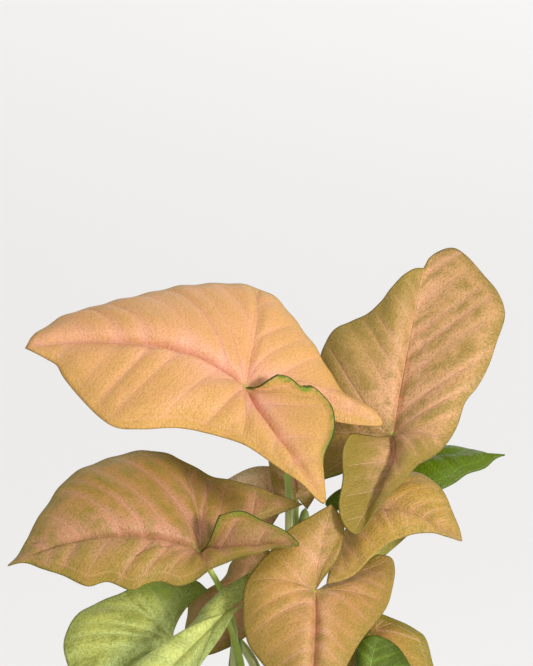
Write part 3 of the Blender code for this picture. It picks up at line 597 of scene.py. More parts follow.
        joint=(22, 60, 182), tip=(36, 104, 138), face=(0.15, 0.75, 0.6), half_width=24,
        arch=10, fold=0.25, wave=(1.5, 2.0, 1.0), stem="stem_rear", height=140, turn=-15,
    ),
    "rear_low": posed_leaf(
        joint=(-2, 62, 146), tip=(-10, 108, 108), face=(0.0, 0.55, 0.85), half_width=30,
        arch=9, fold=0.3, wave=(1.5, 2.0, 0.7), stem="stem_rear", height=112,
    ),
}


def smooth_curve(points, count):
    """Evenly spaced points, one more than count, on a smooth curve through the given points."""
    points = [np.array(point, dtype=float) for point in points]
    points = [2 * points[0] - points[1]] + points + [2 * points[-1] - points[-2]]
    fine = []
    for before, start, end, after in zip(points, points[1:], points[2:], points[3:]):
        for share in np.linspace(0, 1, CURVE_STEPS, endpoint=False):
            fine.append(catmull_rom(before, start, end, after, share))
    fine.append(points[-2])
    fine = np.array(fine)
    walked = np.concatenate([[0], np.cumsum(np.linalg.norm(np.diff(fine, axis=0), axis=1))])
    stops = np.linspace(0, walked[-1], count + 1)
    return np.stack([np.interp(stops, walked, fine[:, axis]) for axis in range(3)], axis=1)


def catmull_rom(before, start, end, after, share):
    """The point a share of the way from start to end, on a curve through all four."""
    return 0.5 * (
        2 * start
        + (end - before) * share
        + (2 * before - 5 * start + 4 * end - after) * share**2
        + (3 * start - before - 3 * end + after) * share**3
    )


def half_length(leaf):
    """The mean length of the blade's two margins, from the tip to the notch."""
    halves = [np.array([leaf.tip] + side) for side in (leaf.left, leaf.right)]
    return sum(np.linalg.norm(np.diff(half, axis=0), axis=1).sum() for half in halves) / 2


def soft_step(value, low, high):
    """0 below low, 1 above high, and a smooth rise between them."""
    share = np.clip((value - low) / (high - low), 0, 1)
    return share * share * (3 - 2 * share)


def rotated(lines, axis, angles):
    """Vectors turned round an axis, each by its own angle."""
    along = np.outer(lines @ axis, axis)
    aside = lines - along
    turned = np.cross(axis, aside) * np.sin(angles)[:, None]
    return along + aside * np.cos(angles)[:, None] + turned


def fan_turn(reach, out):
    """How far each ray turns near the stalk, so that lapping lobes start apart there."""
    flat = reach - np.outer(reach @ out, out)
    steps = np.arctan2(np.cross(flat[:-1], flat[1:]) @ out, (flat[:-1] * flat[1:]).sum(axis=1))
    angles = np.concatenate([[0], np.cumsum(steps)])
    middle = len(angles) // 2
    even = np.linspace(angles[0], angles[-1], len(angles))
    wanted = np.maximum.accumulate(angles) * (1 - FAN_EVEN) + even * FAN_EVEN
    angles = angles - angles[middle]
    wanted = wanted - wanted[middle]
    return wanted * min(1, FAN_LIMIT / (wanted[-1] - wanted[0])) - angles


class Blade:
    """The middle surface of one leaf at fine steps, with what its veins are drawn from.

    Rows run from the stalk to the margin. Ray 0 is the right side of the notch, the middle ray
    is the midrib and the last one is the left side of the notch.
    """

    def __init__(self, leaf, rays, rows, seed=0.0, slant=1.0):
        self.rays, self.rows, self.seed, self.slant = rays, rows, seed, slant
        self.joint = np.array(leaf.joint)
        self.length = np.linalg.norm(np.array(leaf.tip) - self.joint)
        right = smooth_curve([leaf.tip] + leaf.right, rays)
        left = smooth_curve([leaf.tip] + leaf.left, rays)
        self.edge = np.vstack([right[:0:-1], left])
        self.side = np.linspace(-1, 1, 2 * rays + 1)
        self.reach = self.edge - self.joint
        out = np.cross(self.reach[:-1], self.reach[1:]).sum(axis=0)
        self.out = out / np.linalg.norm(out)
        self.grid = self.surface(leaf)
        self.lay_flat()
        self.draw_veins()

    def surface(self, leaf):
        """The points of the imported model's surface, rows by rays."""
        side, far = self.side, np.abs(self.side)
        rib_bow = np.array(leaf.rib) - (self.joint + np.array(leaf.tip)) / 2
        near_rib = np.cos(np.clip(far / RIB_REACH, 0, 1) * math.pi / 2) ** 2
        near_notch = np.clip((far - 1) / NOTCH_REACH + 1, 0, 1) ** 2
        belly = np.where(side < 0, leaf.belly[1], leaf.belly[0]) * np.sin(math.pi * far**CREASE)
        notch = np.where(side[:, None] < 0, np.array(leaf.right_notch), np.array(leaf.left_notch))
        bow = near_rib[:, None] * rib_bow + near_notch[:, None] * notch + belly[:, None] * self.out
        turn = fan_turn(self.reach, self.out) if leaf.lapped else np.zeros(len(side))
        height, count, phase = leaf.wave
        ripple = height * np.sin(2 * math.pi * count * far + phase + side)
        ripple = (ripple * np.sin(math.pi * far) ** 0.5)[:, None] * self.out
        lines = []
        for share in np.linspace(0, 1, self.rows + 1):
            fan = turn * min(1, (1 - share) / (1 - FAN_SHARE)) ** 2
            line = self.joint + rotated(self.reach, self.out, fan) * share
            lines.append(line + bow * 4 * share * (1 - share) + ripple * share**3)
        return np.array(lines)

    def lay_flat(self):
        """Where each point lies when the blade is laid flat, with the midrib along x."""
        unit = self.reach / np.linalg.norm(self.reach, axis=1)[:, None]
        turn = np.cross(unit[:-1], unit[1:])
        angle = np.arctan2(np.linalg.norm(turn, axis=1), (unit[:-1] * unit[1:]).sum(axis=1))
        angle = angle * np.where(turn @ self.out < 0, -1, 1)
        angle = np.concatenate([[0], np.cumsum(angle)])
        self.angle = angle - angle[self.rays]
        self.radius = np.linalg.norm(self.grid - self.joint, axis=2)
        self.x = self.radius * np.cos(self.angle)
        self.y = self.radius * np.sin(self.angle)
        halves = self.half_to_edge(0, self.rays), self.half_to_edge(self.rays, 2 * self.rays)
        self.to_edge = np.delete(np.hstack(halves), self.rays, axis=1)

    def half_to_edge(self, first, last):
        """How far the points of one half are from its margin and from its side of the notch."""
        x, y = self.x[:, first:last + 1], self.y[:, first:last + 1]
        edge_x, edge_y = x[-1], y[-1]
        away = np.full(x.shape, np.inf)
        for point_x, point_y in zip(edge_x, edge_y):
            away = np.minimum(away, np.hypot(x - point_x, y - point_y))
        notch = self.angle[0] if first == 0 else self.angle[-1]
        apart = np.clip(np.abs(self.angle[first:last + 1] - notch), 0, math.pi / 2)
        return np.minimum(away, self.radius[:, first:last + 1] * np.sin(apart))

    def draw_veins(self):
        """Distances to the main ribs in millimetres, and the running count of the side veins."""
        length, spacing = self.length, self.length * LATERAL_SPACING
        side = np.where(self.angle < 0, -1.0, 1.0)
        angle = np.abs(self.angle)
        off = np.abs(self.y)
        ahead = np.abs(self.angle) < math.pi / 2
        self.to_midrib = np.where(ahead, self.y, self.radius)
        lean = np.where(self.angle < 0, LATERAL_LEAN[0], LATERAL_LEAN[1]) * self.slant
        root = self.x - lean * off - LATERAL_CURVE * off**2 / length
        self.lateral = root / (1 + LATERAL_SPREAD * off / length) / spacing
        lobe = np.where(self.angle < 0, self.lobe_angle(-1), self.lobe_angle(1))
        along = self.radius * np.cos(angle - lobe)
        aside = self.radius * np.sin(angle - lobe)
        self.to_lobe = np.where(np.abs(angle - lobe) < math.pi / 2, aside, self.radius)
        root = along - LOBE_LEAN * self.slant * np.abs(aside) - LOBE_CURVE * aside**2 / length
        self.lobe_lateral = root / spacing
        self.lateral += VEIN_UNEVEN * np.sin(VEIN_WANDER * self.lateral + self.seed + side)
        self.lobe_lateral += VEIN_UNEVEN * np.sin(VEIN_WANDER * self.lobe_lateral + 2 * self.seed)
        past = soft_step(self.radius * (angle - FIRST_RIB), -RIB_STEP, RIB_STEP)
        count = self.lateral * (1 - past) + self.lobe_lateral * past
        mean, spread, pace = VEIN_STRENGTH
        self.strength = mean + spread * np.sin(pace * np.floor(count + 0.5) + self.seed + side)
        bent = FIRST_RIB - FIRST_RIB_BEND * np.clip(self.radius / length, 0, 1)
        self.past_first = self.radius * np.sin(np.clip(angle - bent, -math.pi / 2, math.pi / 2))
        self.share = np.repeat(np.linspace(0, 1, self.rows + 1)[:, None], len(side), axis=1)

    def lobe_angle(self, sign):
        """The direction of the lobe's own rib: to the farthest point of the margin behind."""
        angle = self.angle * sign
        reach = self.radius[-1] * (angle > min(LOBE_FROM, angle.max() * LOBE_SHARE))
        return float(angle[int(np.argmax(reach))])

    def relief(self, puff, groove, ripple, lips):
        """The surface with puffed fields, sunken ribs, a rippled margin and curled lips."""
        past = soft_step(self.past_first, -RIB_STEP, RIB_STEP)
        count = self.lateral * (1 - past) + self.lobe_lateral * past
        pillow = 1 - self.strength * (1 - np.abs(np.sin(math.pi * count)) ** PUFF_ROUND)
        ribs = [np.abs(self.to_midrib), np.abs(self.to_lobe), np.abs(self.past_first)]
        clear = soft_step(np.minimum(np.minimum(ribs[0], ribs[1]), ribs[2]), 0, RIB_BAND)
        height = puff * pillow * clear * soft_step(self.to_edge, 0, PUFF_BAND)
        fade = 1 - self.share * RIB_FADE
        for rib, depth in zip(ribs, RIB_DEPTHS):
            height -= groove * depth * fade * np.exp(-rib / RIB_SLOPE)
        walked = self.side * self.rays * np.linalg.norm(np.diff(self.edge, axis=0), axis=1).mean()
        short, long = (walked / length for length in RIPPLE_LENGTHS)
        swell = np.sin(short + self.seed) * np.sin(long + 2 * self.seed)
        height += ripple * swell * (1 - soft_step(self.to_edge, 0, RIPPLE_BAND)) * self.share
        lip = np.where(self.side > 0, lips[0], lips[1]) * self.near_notch()
        curl = lip * (1 - soft_step(self.to_edge, 0, LIP_BAND))
        height += curl * soft_step(self.share, 0.3, 0.7)
        height *= soft_step(self.radius, 0, JOINT_BAND)
        return self.grid + self.normals() * height[:, :, None]

    def near_notch(self):
        """1 along the margins beside the notch, 0 elsewhere."""
        return soft_step(np.abs(self.side), *LIP_SPAN)

    def normals(self):
        """The upper side's direction at each point."""
        down = np.gradient(self.grid, axis=0)
        round_ = np.gradient(self.grid, axis=1)
        normal = np.cross(down, round_)
        size = np.linalg.norm(normal, axis=2)[:, :, None]
        normal = np.where(size > 1e-9, normal / np.maximum(size, 1e-9), self.out)
        return normal if (normal @ self.out).sum() > 0 else -normal


class Number:
    """A number in a shader: working with it adds Math nodes."""

    def __init__(self, look, socket):
        self.look, self.socket = look, socket

    def math(self, operation, *values):
        sockets = [value.socket if isinstance(value, Number) else value for value in values]
        made = self.look.node("ShaderNodeMath", {"operation": operation}, dict(enumerate(sockets)))
        return Number(self.look, made.outputs[0])

    def __add__(self, other):
        return self.math("ADD", self, other)

    def __radd__(self, other):
        return self.math("ADD", other, self)

    def __sub__(self, other):
        return self.math("SUBTRACT", self, other)

    def __rsub__(self, other):
        return self.math("SUBTRACT", other, self)

    def __mul__(self, other):
        return self.math("MULTIPLY", self, other)

    def __rmul__(self, other):
        return self.math("MULTIPLY", other, self)

    def __truediv__(self, other):
        return self.math("DIVIDE", self, other)

    def __abs__(self):
        return self.math("ABSOLUTE", self)

    def fraction(self):
        return self.math("FRACT", self)

    def larger(self, other):
        return self.math("MAXIMUM", self, other)

    def smaller(self, other):
        return self.math("MINIMUM", self, other)

    def rise(self, low, high):
        """0 at low, 1 at high, with a smooth rise between them."""
        values = {"Value": self.socket, "From Min": low, "From Max": high}
        made = self.look.node("ShaderNodeMapRange", {"interpolation_type": "SMOOTHSTEP"}, values)
        return Number(self.look, made.outputs["Result"])


class Look:
    """A procedural material in the making."""

    def __init__(self, name):
        self.material = bpy.data.materials.new(name)
        self.material.use_nodes = True
        self.tree = self.material.node_tree
        self.shader = self.tree.nodes["Principled BSDF"]

    def node(self, kind, settings, values):
        """Add a node, set what it is, and give its sockets their values or links."""
        made = self.tree.nodes.new(kind)
        for key, value in settings.items():
            setattr(made, key, value)
        for key, value in values.items():
            self.feed(made.inputs[key], value)
        return made

    def feed(self, socket, value):
        """Link a socket, or set its value."""
        if isinstance(value, Number):
            value = value.socket
        if isinstance(value, bpy.types.NodeSocket):
            self.tree.links.new(value, socket)
        elif isinstance(value, tuple) and len(value) == 3 and len(socket.default_value) == 4:
            socket.default_value = (*value, 1.0)
        else:
            socket.default_value = value

    def attribute(self, name):
        """A vector that the mesh holds at each of its points."""
        return self.node("ShaderNodeAttribute", {"attribute_name": name}, {}).outputs["Vector"]

    def place(self):
        """Where the point is in its object, in metres."""
        return self.node("ShaderNodeTexCoord", {}, {}).outputs["Object"]

    def vector(self, x, y, z):
        """A vector of three numbers."""
        return self.node("ShaderNodeCombineXYZ", {}, {0: x, 1: y, 2: z}).outputs[0]

    def parts(self, vector):
        """The three numbers of a vector."""
        split = self.node("ShaderNodeSeparateXYZ", {}, {0: vector})
        return [Number(self, socket) for socket in split.outputs]

    def noise(self, vector, scale, detail=2.0, stretch=(1.0, 1.0, 1.0)):
        """Cloudy noise from 0 to 1."""
        if stretch != (1.0, 1.0, 1.0):
            stretched = {"Vector": vector, "Scale": stretch}
            vector = self.node("ShaderNodeMapping", {}, stretched).outputs[0]
        values = {"Vector": vector, "Scale": scale, "Detail": detail}
        return Number(self, self.node("ShaderNodeTexNoise", {}, values).outputs[0])

    def cells(self, vector, scale, feature="DISTANCE_TO_EDGE", flat=False):
        """Cell noise: how far a point is from its cell's edge, or from its middle."""
        settings = {"feature": feature, "voronoi_dimensions": "2D" if flat else "3D"}
        made = self.node("ShaderNodeTexVoronoi", settings, {"Vector": vector, "Scale": scale})
        return Number(self, made.outputs["Distance"])

    def mix(self, factor, first, second, way="MIX"):
        """One colour over another."""
        settings = {"data_type": "RGBA", "blend_type": way}
        return self.node("ShaderNodeMix", settings, {0: factor, 6: first, 7: second}).outputs[2]

    def paint(self, colour, *coats):
        """Lay coats over a colour, each a mask and a shade."""
        for mask, shade in coats:
            colour = self.mix(mask, colour, shade)
        return colour

    def tinted(self, colour, tint):
        """A colour times a tint."""
        return self.mix(1.0, colour, tint, "MULTIPLY")

    def finish(self, colour, roughness, height=None, depth=0.0002, **constants):
        """Feed the shader: its colour, its roughness, its relief and what is the same all over."""
        self.feed(self.shader.inputs["Base Color"], colour)
        self.feed(self.shader.inputs["Roughness"], roughness)
        if height is not None:
            values = {"Strength": 1.0, "Distance": depth, "Height": height}
            bump = self.node("ShaderNodeBump", {}, values)
            self.feed(self.shader.inputs["Normal"], bump.outputs[0])
        for key, value in constants.items():
            self.shader.inputs[key.replace("_", " ")].default_value = value
        return self.material


def colour_of(name):
    """A leaf colour from the sidebar."""
    return shade_of("plant_colours", name)


def vein_masks(look, spacing):
    """The lines of the ribs, of the side veins and of the net between them, from 0 to 1."""
    flat = look.attribute("flat")
    to_edge = look.parts(flat)[2]
    strength = look.parts(look.attribute("ways"))[0]
    to_midrib, to_lobe, past_first = look.parts(look.attribute("ribs"))
    lateral, lobe_lateral, share = look.parts(look.attribute("veins"))
    past = past_first.rise(-0.05, 0.05)
    count = lateral * (1 - past) + lobe_lateral * past
    near = abs((count + 0.5).fraction() - 0.5) * spacing
    inside = to_edge.rise(2.2, 3.4)
    width = 0.9 - share * 0.6
    midrib = 1 - (abs(to_midrib) / width).rise(0.25, 1.0)
    ribs = 1 - (abs(to_lobe) / width).rise(0.12, 0.75)
    first = 1 - (abs(past_first) / width).rise(0.12, 0.75)
    side = (1 - (near / width).rise(0.1, 1.1)) * inside * strength
    ring = 1 - abs(to_edge - 3.0).rise(0.06, 0.45)
    main = midrib.larger(ribs.larger(first) * inside)
    net = 1 - look.cells(flat, 0.42, flat=True).rise(0.0, 0.09)
    near_main = abs(to_midrib).smaller(abs(to_lobe))
    return SimpleNamespace(
        main=main, side=side, ring=ring, net=net, near=near, near_main=near_main, to_edge=to_edge,
        lateral=lateral, lobe_lateral=lobe_lateral, share=share, strength=strength, flat=flat,
    )


def upper_side(name, finish, spacing):
    """The upper side of a blade: its body colour, its blush, its green rim and its veins."""
    look = Look(f"{name}_upper")
    veins = vein_masks(look, spacing)
    lip, rim_width = look.parts(look.attribute("ways"))[1:]
    cloud = look.noise(veins.flat, 0.05, 3.0)
    patch = look.noise(veins.flat, 0.14, 4.0)
    grain = look.noise(veins.flat, 0.95, 4.0)
    grit = look.cells(veins.flat, 1.25, "F1", flat=True)
    along = veins.near_main * 0.12 + veins.lateral
    streak = look.noise(look.vector(veins.near * 1.6, along, veins.lobe_lateral), 1.0, 3.0)
    across = veins.near / spacing
    wash = (1 - across.rise(0.02, 0.4)) * veins.strength * 0.4
    wash = wash + (1 - veins.near_main.rise(0.0, 15.0)) * 0.7
    wash = wash + (1 - veins.share.rise(0.0, 0.9)) * 0.3
    wash = wash + (cloud - 0.5) * 1.2 + (streak - 0.5) * 0.7
    blotch = (patch + streak * 0.4).rise(0.58, 0.85) * across.rise(0.08, 0.4) * finish.speckle
    # The left half, the right half and the lobes turn to the rim colour towards the margin: partly
    # the blade's own olive, partly painted shade
    left = look.parts(veins.flat)[1].rise(-4.0, 4.0)
    lobes = look.parts(look.attribute("ribs"))[2].rise(0.0, 12.0)
    tint = left * finish.tints_and_shade[0] + (1 - left) * finish.tints_and_shade[1] + lobes * finish.tints_and_shade[2]
    ragged = (veins.to_edge + (patch - 0.5) * 9) / rim_width
    border = (1 - ragged.rise(0.0, 7.0)) * finish.green
    dots = grain.rise(0.47, 0.66) * (border * 0.5 + finish.speckle * 0.5 + 0.08)
    rim, vein = colour_of(finish.rim), colour_of(finish.vein)
    speck = look.mix(finish.speckle * 0.6, rim, colour_of("moss"))
    colour = look.paint(
        colour_of(finish.body),
        ((wash * finish.blush).rise(0.0, 0.9), colour_of(finish.centre)),
        (blotch * 0.7, speck),
        (tint * veins.share.rise(0.15, 0.9) * (0.5 + cloud), rim),
        (border * 0.9, rim),
        (dots * (0.5 + patch), speck),
    )
    lights = (1 - grain).rise(0.52, 0.66) * 0.35
    colour = look.mix(lights, colour, look.tinted(colour, (1.12, 1.1, 1.05)))
    dark = look.tinted(colour, (0.80, 0.74, 0.62))
    patches = look.noise(veins.flat, 0.22, 2.0).rise(0.42, 0.56)
    green_lip = 1 - (veins.to_edge + (patch - 0.5) * 4).rise(0.8, 2.2)
    green_lip = lip * green_lip * (0.25 + patches * 0.75)
    stitch = look.noise(veins.flat, 1.7, 1.0).rise(0.35, 0.6)
    line = (1 - veins.to_edge.rise(0.1, 0.55)) * (0.2 + 0.5 * finish.green) * (0.5 + stitch * 0.5)
    colour = look.paint(
        colour,
        (grit.rise(0.25, 0.75) * 0.6, dark),
        (streak.rise(0.5, 0.8) * 0.45, dark),
        (veins.ring * 0.25 * finish.lines, colour_of(finish.ring)),
        (veins.net * 0.1 * finish.lines, vein),
        (veins.side * 0.7 * finish.lines, vein),
        (veins.main * 0.8 * finish.lines, vein),
        (green_lip * 0.85, look.mix(0.45, colour_of("bright"), colour_of("vein_green"))),
        (line + lip * (1 - veins.to_edge.rise(0.3, 0.7)), colour_of("outline")),
        ((1 - veins.share.rise(0.010, 0.028)) * 0.8, colour_of("stalk_green")),
    )
    roughness = finish.shine + (grain - 0.5) * 0.25 - veins.main * 0.05
    height = grain * 0.5 - grit * 0.3 + streak * 0.5
    height = height - veins.side * 0.15 - veins.net * 0.1 - veins.main * 0.3
    return look.finish(colour, roughness, height, BLADE_BUMP, Specular_IOR_Level=0.25)


def under_side(name, finish, spacing):
    """The underside of a blade, paler and duller, with its veins standing out."""
    look = Look(f"{name}_under")
    veins = vein_masks(look, spacing)
    grain = look.noise(veins.flat, 0.9, 3.0)
    cloud = look.noise(veins.flat, 0.09, 3.0)
    pale, moss = colour_of("vein_lime"), colour_of("moss")
    colour = look.paint(
        colour_of("underside"),
        (cloud * 0.45 + 0.2, colour_of(finish.body)),
        ((1 - veins.near_main.rise(0.0, 8.0)) * 0.3, pale),
        (grain.rise(0.5, 0.75) * 0.3, moss),
        (veins.net * 0.25, pale),
        (veins.side * 0.6, pale),
        (veins.main * 0.85, pale),
        ((1 - veins.to_edge.rise(0.15, 0.65)) * 0.4, moss),
    )
    roughness = 0.62 - veins.main * 0.1
    height = grain * 0.3 + veins.side * 0.9 + veins.net * 0.4 + veins.main * 1.5
    return look.finish(colour, roughness, height, BLADE_BUMP, Specular_IOR_Level=0.15)


def linked(name, data):
    """A new object in the scene."""
    made = bpy.data.objects.new(name, data)
    bpy.context.scene.collection.objects.link(made)
    return made


def add_piece(name, mesh):
    """Link a finished mesh as a piece of the plant."""
    piece = linked(name, mesh)
    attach(piece, BODY)
    return piece


def mesh_of(name, shape, smooth=True):
    """The mesh of a finished shape."""
    mesh = bpy.data.meshes.new(name)
    shape.to_mesh(mesh)
    shape.free()
    if smooth:
        mesh.shade_smooth()
    return mesh


def draped_grid(columns, rows, points, layers):
    """A grid whose vertices are laid on the given points, rows by columns, with their values."""
    shape = bmesh.new()
    bmesh.ops.create_grid(shape, x_segments=columns, y_segments=rows, size=0.5)
    held = {key: shape.verts.layers.float_vector.new(key) for key in layers}
    for vertex in shape.verts:
        column = round((vertex.co.x + 0.5) * columns)
        row = round((vertex.co.y + 0.5) * rows)
        vertex.co = points[row, column]
        for key, layer in held.items():
            vertex[layer] = layers[key][row, column]
    bmesh.ops.remove_doubles(shape, verts=shape.verts, dist=MERGE)
    return shape


def add_leaf(name, leaf):
    """One leaf's blade, with its veins, its ripples and its two sides."""
    sizes = bpy.context.scene.plant_leaves
    finish = FINISHES[name]
    facet = sizes.facet / MM
    rays = max(LEAST_RAYS, round(half_length(leaf) / facet))
    length = np.linalg.norm(np.array(leaf.tip) - np.array(leaf.joint))
    rows = max(LEAST_ROWS, round(length / facet * ROW_SHARE))
    seed = float(sorted(LEAVES).index(name))
    blade = Blade(leaf, rays, rows, seed, finish.slant)
    scale = min(1.0, blade.length / FULL_LENGTH) * finish.relief
    puff, ripple = sizes.puff / MM * scale, sizes.ripple / MM * scale
    lips = [sizes.lip / MM * lip for lip in finish.lips]
    points = blade.relief(puff, sizes.groove / MM, ripple, lips)
    lip = np.where(blade.side > 0, finish.lips[0], finish.lips[1]) * blade.near_notch()
    lip = np.broadcast_to(lip, blade.share.shape)
    width = np.broadcast_to(np.where(blade.side > 0, finish.rims[0], finish.rims[1]), lip.shape)
    layers = {
        "ways": np.dstack([blade.strength, lip, width]),
        "flat": np.dstack([blade.x + seed * LEAF_SPREAD, blade.y, blade.to_edge]),
        "ribs": np.dstack([blade.to_midrib, blade.to_lobe, blade.past_first]),
        "veins": np.dstack([blade.lateral, blade.lobe_lateral, blade.share]),
    }
    shape = draped_grid(2 * rays, rows, points * MM, layers)
    upward = sum((face.normal * face.calc_area() for face in shape.faces), Vector())
    if upward.dot(Vector(blade.out)) < 0:
        bmesh.ops.reverse_faces(shape, faces=shape.faces)
    piece = add_piece(f"{name}_blade", mesh_of(name, shape))
    spacing = blade.length * LATERAL_SPACING
    piece.data.materials.append(upper_side(name, finish, spacing))
    piece.data.materials.append(under_side(name, finish, spacing))
    wall = piece.modifiers.new("thickness", "SOLIDIFY")
    wall.thickness = sizes.thickness
    wall.offset = 0
    wall.material_offset = 1
    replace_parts(piece, f"leaf_{name}")


def stem_radius(share):
    """A stem's radius, from its foot at 0 to its top at 1."""
    return STEM_FOOT_RADIUS + (STEM_TOP_RADIUS - STEM_FOOT_RADIUS) * share


def stem_at(name, height):
    """A stem's axis, direction and radius at a height."""
    line = smooth_curve(STEMS[name], STEM_SAMPLES)
    share = float(np.interp(height, line[:, 2], np.linspace(0, 1, len(line))))
    point = np.array([np.interp(height, line[:, 2], line[:, axis]) for axis in range(3)])
    index = min(int(share * STEM_SAMPLES), STEM_SAMPLES - 1)
    ahead = line[index + 1] - line[index]
    return point, ahead / np.linalg.norm(ahead), stem_radius(share)


def stalk_path(leaf, steps):
    """A stalk's line, from the stem's side up to the blade's underside, and the way it faces."""
    foot, ahead, thick = stem_at(leaf.stem, leaf.height)
    joint = np.array(leaf.joint)
    out = Blade(leaf, 8, 2).out
    heading = math.atan2(joint[1] - foot[1], joint[0] - foot[0]) + math.radians(leaf.turn)
    aside = np.array([math.cos(heading), math.sin(heading), 0.0])
    aside -= ahead * aside.dot(ahead)
    aside /= np.linalg.norm(aside)
    start = foot + aside * (thick + STALK_FOOT_RADIUS + GAP)
    chord = np.linalg.norm(joint - start)
    below = -out * (1 - leaf.lean) + (start - joint) / chord * leaf.lean
    below /= np.linalg.norm(below)
    slant = math.sqrt(max(0.0, 1 - below.dot(out) ** 2))
    clear = BLADE_THICKNESS / 2 + GAP + STALK_CAP + leaf.drop
    end = joint + below * (clear + STALK_TOP_RADIUS * slant)
    first = start + (ahead + aside * STALK_SPREAD) * chord * leaf.rise
    second = end + below * chord * STALK_REACH + np.array(leaf.bend)
    shares = np.linspace(0, 1, steps + 1)[:, None]
    line = (
        start * (1 - shares) ** 3
        + first * 3 * shares * (1 - shares) ** 2
        + second * 3 * shares**2 * (1 - shares)
        + end * shares**3
    )
    line[0] -= aside * STALK_FOOT_RADIUS
    line[-1] = joint
    return line, -aside


def tube_mesh(name, line, facing, radius, sides):
    """A closed tube along a line: radius gives each point's reach from its angle and its share.

    Each point holds its angle, its share of the way and the way walked.
    """
    ahead = np.gradient(line, axis=0)
    ahead /= np.linalg.norm(ahead, axis=1)[:, None]
    angles = np.linspace(-math.pi, math.pi, sides + 1)
    shares = np.linspace(0, 1, len(line))
    rows = []
    for point, way, share in zip(line, ahead, shares):
        facing = facing - way * facing.dot(way)
        facing = facing / np.linalg.norm(facing)
        reach = radius(angles, share)
        over = facing * (np.cos(angles) * reach)[:, None]
        rows.append(point + over + np.cross(way, facing) * (np.sin(angles) * reach)[:, None])
    points = np.array(rows)
    points[0] = line[0]
    points[-1] = line[-1]
    turn = np.repeat(np.abs(angles)[None, :], len(line), axis=0)
    along = np.repeat(shares[:, None], sides + 1, axis=1)
    walked = np.linalg.norm(np.diff(line, axis=0), axis=1).sum() * along
    layers = {"round": np.dstack([turn, along, walked])}
    shape = draped_grid(sides, len(line) - 1, points * MM, layers)
    bmesh.ops.recalc_face_normals(shape, faces=shape.faces)
    return mesh_of(name, shape)


def stalk_radius(sizes):
    """A stalk's radius: flared foot, the two wings of its sheath, and the channel between them."""

    def radius(angles, share):
        flare = (STALK_FOOT_RADIUS - STALK_TOP_RADIUS) * (1 - share) ** STALK_FLARE
        sheath = 1 - soft_step(share, sizes.sheath * SHEATH_FADE, sizes.sheath)
        wing = np.exp(-(((np.abs(angles) - WING_TURN) / WING_WIDTH) ** 2)) * sheath * sizes.wing
        deep = CHANNEL_DEPTH + SHEATH_CHANNEL * sheath
        channel = np.exp(-((angles / CHANNEL_WIDTH) ** 2)) * deep
        tip = 1 - TIP_TAPER * soft_step(share, TIP_FROM, 1.0)
        return (STALK_TOP_RADIUS + flare) * (1 + wing - channel) * tip

    return radius


def stalk_look(name, blush):
    """A stalk's skin: fine streaks, a paler sheath and a few flecks."""
    look = Look(f"{name}_skin")
    turn, along = look.parts(look.attribute("round"))[:2]
    place = look.place()
    streak = look.noise(place, 900.0, 2.0, (1.0, 1.0, 0.06))
    cloud = look.noise(place, 60.0, 3.0)
    fleck = look.cells(place, 700.0, "F1")
    edge = (1 - abs(turn - WING_TURN).rise(0.05, 0.3)) * (1 - along.rise(0.2, 0.42))
    green, pale = colour_of(name), colour_of("stalk_pale")
    colour = look.paint(
        green,
        (streak.rise(0.3, 0.75) * 0.5, look.tinted(green, (0.62, 0.7, 0.5))),
        ((1 - along.rise(0.12, 0.5)) * 0.55 + (cloud - 0.5) * 0.4, pale),
        (along.rise(0.72, 1.0) * 0.55, colour_of(blush)),
        (edge * 0.5, pale),
        ((1 - fleck.rise(0.05, 0.22)) * 0.25, colour_of("moss")),
    )
    height = streak * 0.6 + cloud * 0.4
    return look.finish(colour, 0.42 + streak * 0.12, height, Specular_IOR_Level=0.5)


def stem_look():
    """The stems' skin: green, with brown rings where old leaves sat."""
    look = Look("stem_skin")
    along, walked = look.parts(look.attribute("round"))[1:]
    place = look.place()
    streak = look.noise(place, 700.0, 3.0, (1.0, 1.0, 0.1))
    cloud = look.noise(place, 90.0, 4.0)
    ring = (walked / SCAR_SPACING + cloud * 0.06).fraction()
    scar = (1 - ring.rise(0.0, 0.05)) + ring.rise(0.96, 1.0)
    green, brown = colour_of("stem_green"), colour_of("leaf_scar")
    colour = look.paint(
        green,
        (streak * 0.5, look.tinted(green, (0.55, 0.62, 0.4))),
        ((1 - along.rise(0.1, 0.6)) * 0.5 + (cloud - 0.5) * 0.5, brown),
        (scar * 0.8, brown),
    )
    height = streak * 0.7 - scar * 0.8 + cloud
    return look.finish(colour, 0.55 + cloud * 0.15, height, STEM_BUMP)


def lathe(profile, sides):
    """A profile in the x-z plane, in millimetres, turned once about the z axis."""
    shape = bmesh.new()
    line = [shape.verts.new((radius * MM, 0, height * MM)) for radius, height in profile]
    edges = [shape.edges.new(pair) for pair in zip(line, line[1:])]
    bmesh.ops.spin(
        shape, geom=line + edges, cent=(0, 0, 0), axis=(0, 0, 1), angle=math.tau, steps=sides,
        use_merge=True, use_duplicate=False,
    )
    bmesh.ops.remove_doubles(shape, verts=shape.verts, dist=MERGE)
    bmesh.ops.recalc_face_normals(shape, faces=shape.faces)
    return shape


def rounded(corners, radii, steps=5):
    """A profile whose inner corners are rounded, each by its own radius."""
    line = [corners[0]]
    for before, corner, after, radius in zip(corners, corners[1:], corners[2:], radii):
        before, corner, after = (np.array(point, dtype=float) for point in (before, corner, after))
        first, second = before - corner, after - corner
        sizes = np.linalg.norm(first), np.linalg.norm(second)
        reach = min(radius, *(size * ROUND_SHARE for size in sizes))
        start = corner + first / sizes[0] * reach
        end = corner + second / sizes[1] * reach
        for share in np.linspace(0, 1, steps + 1):
            bend = start * (1 - share) ** 2 + corner * 2 * share * (1 - share) + end * share**2
            line.append(tuple(bend))
    line.append(corners[-1])
    return line


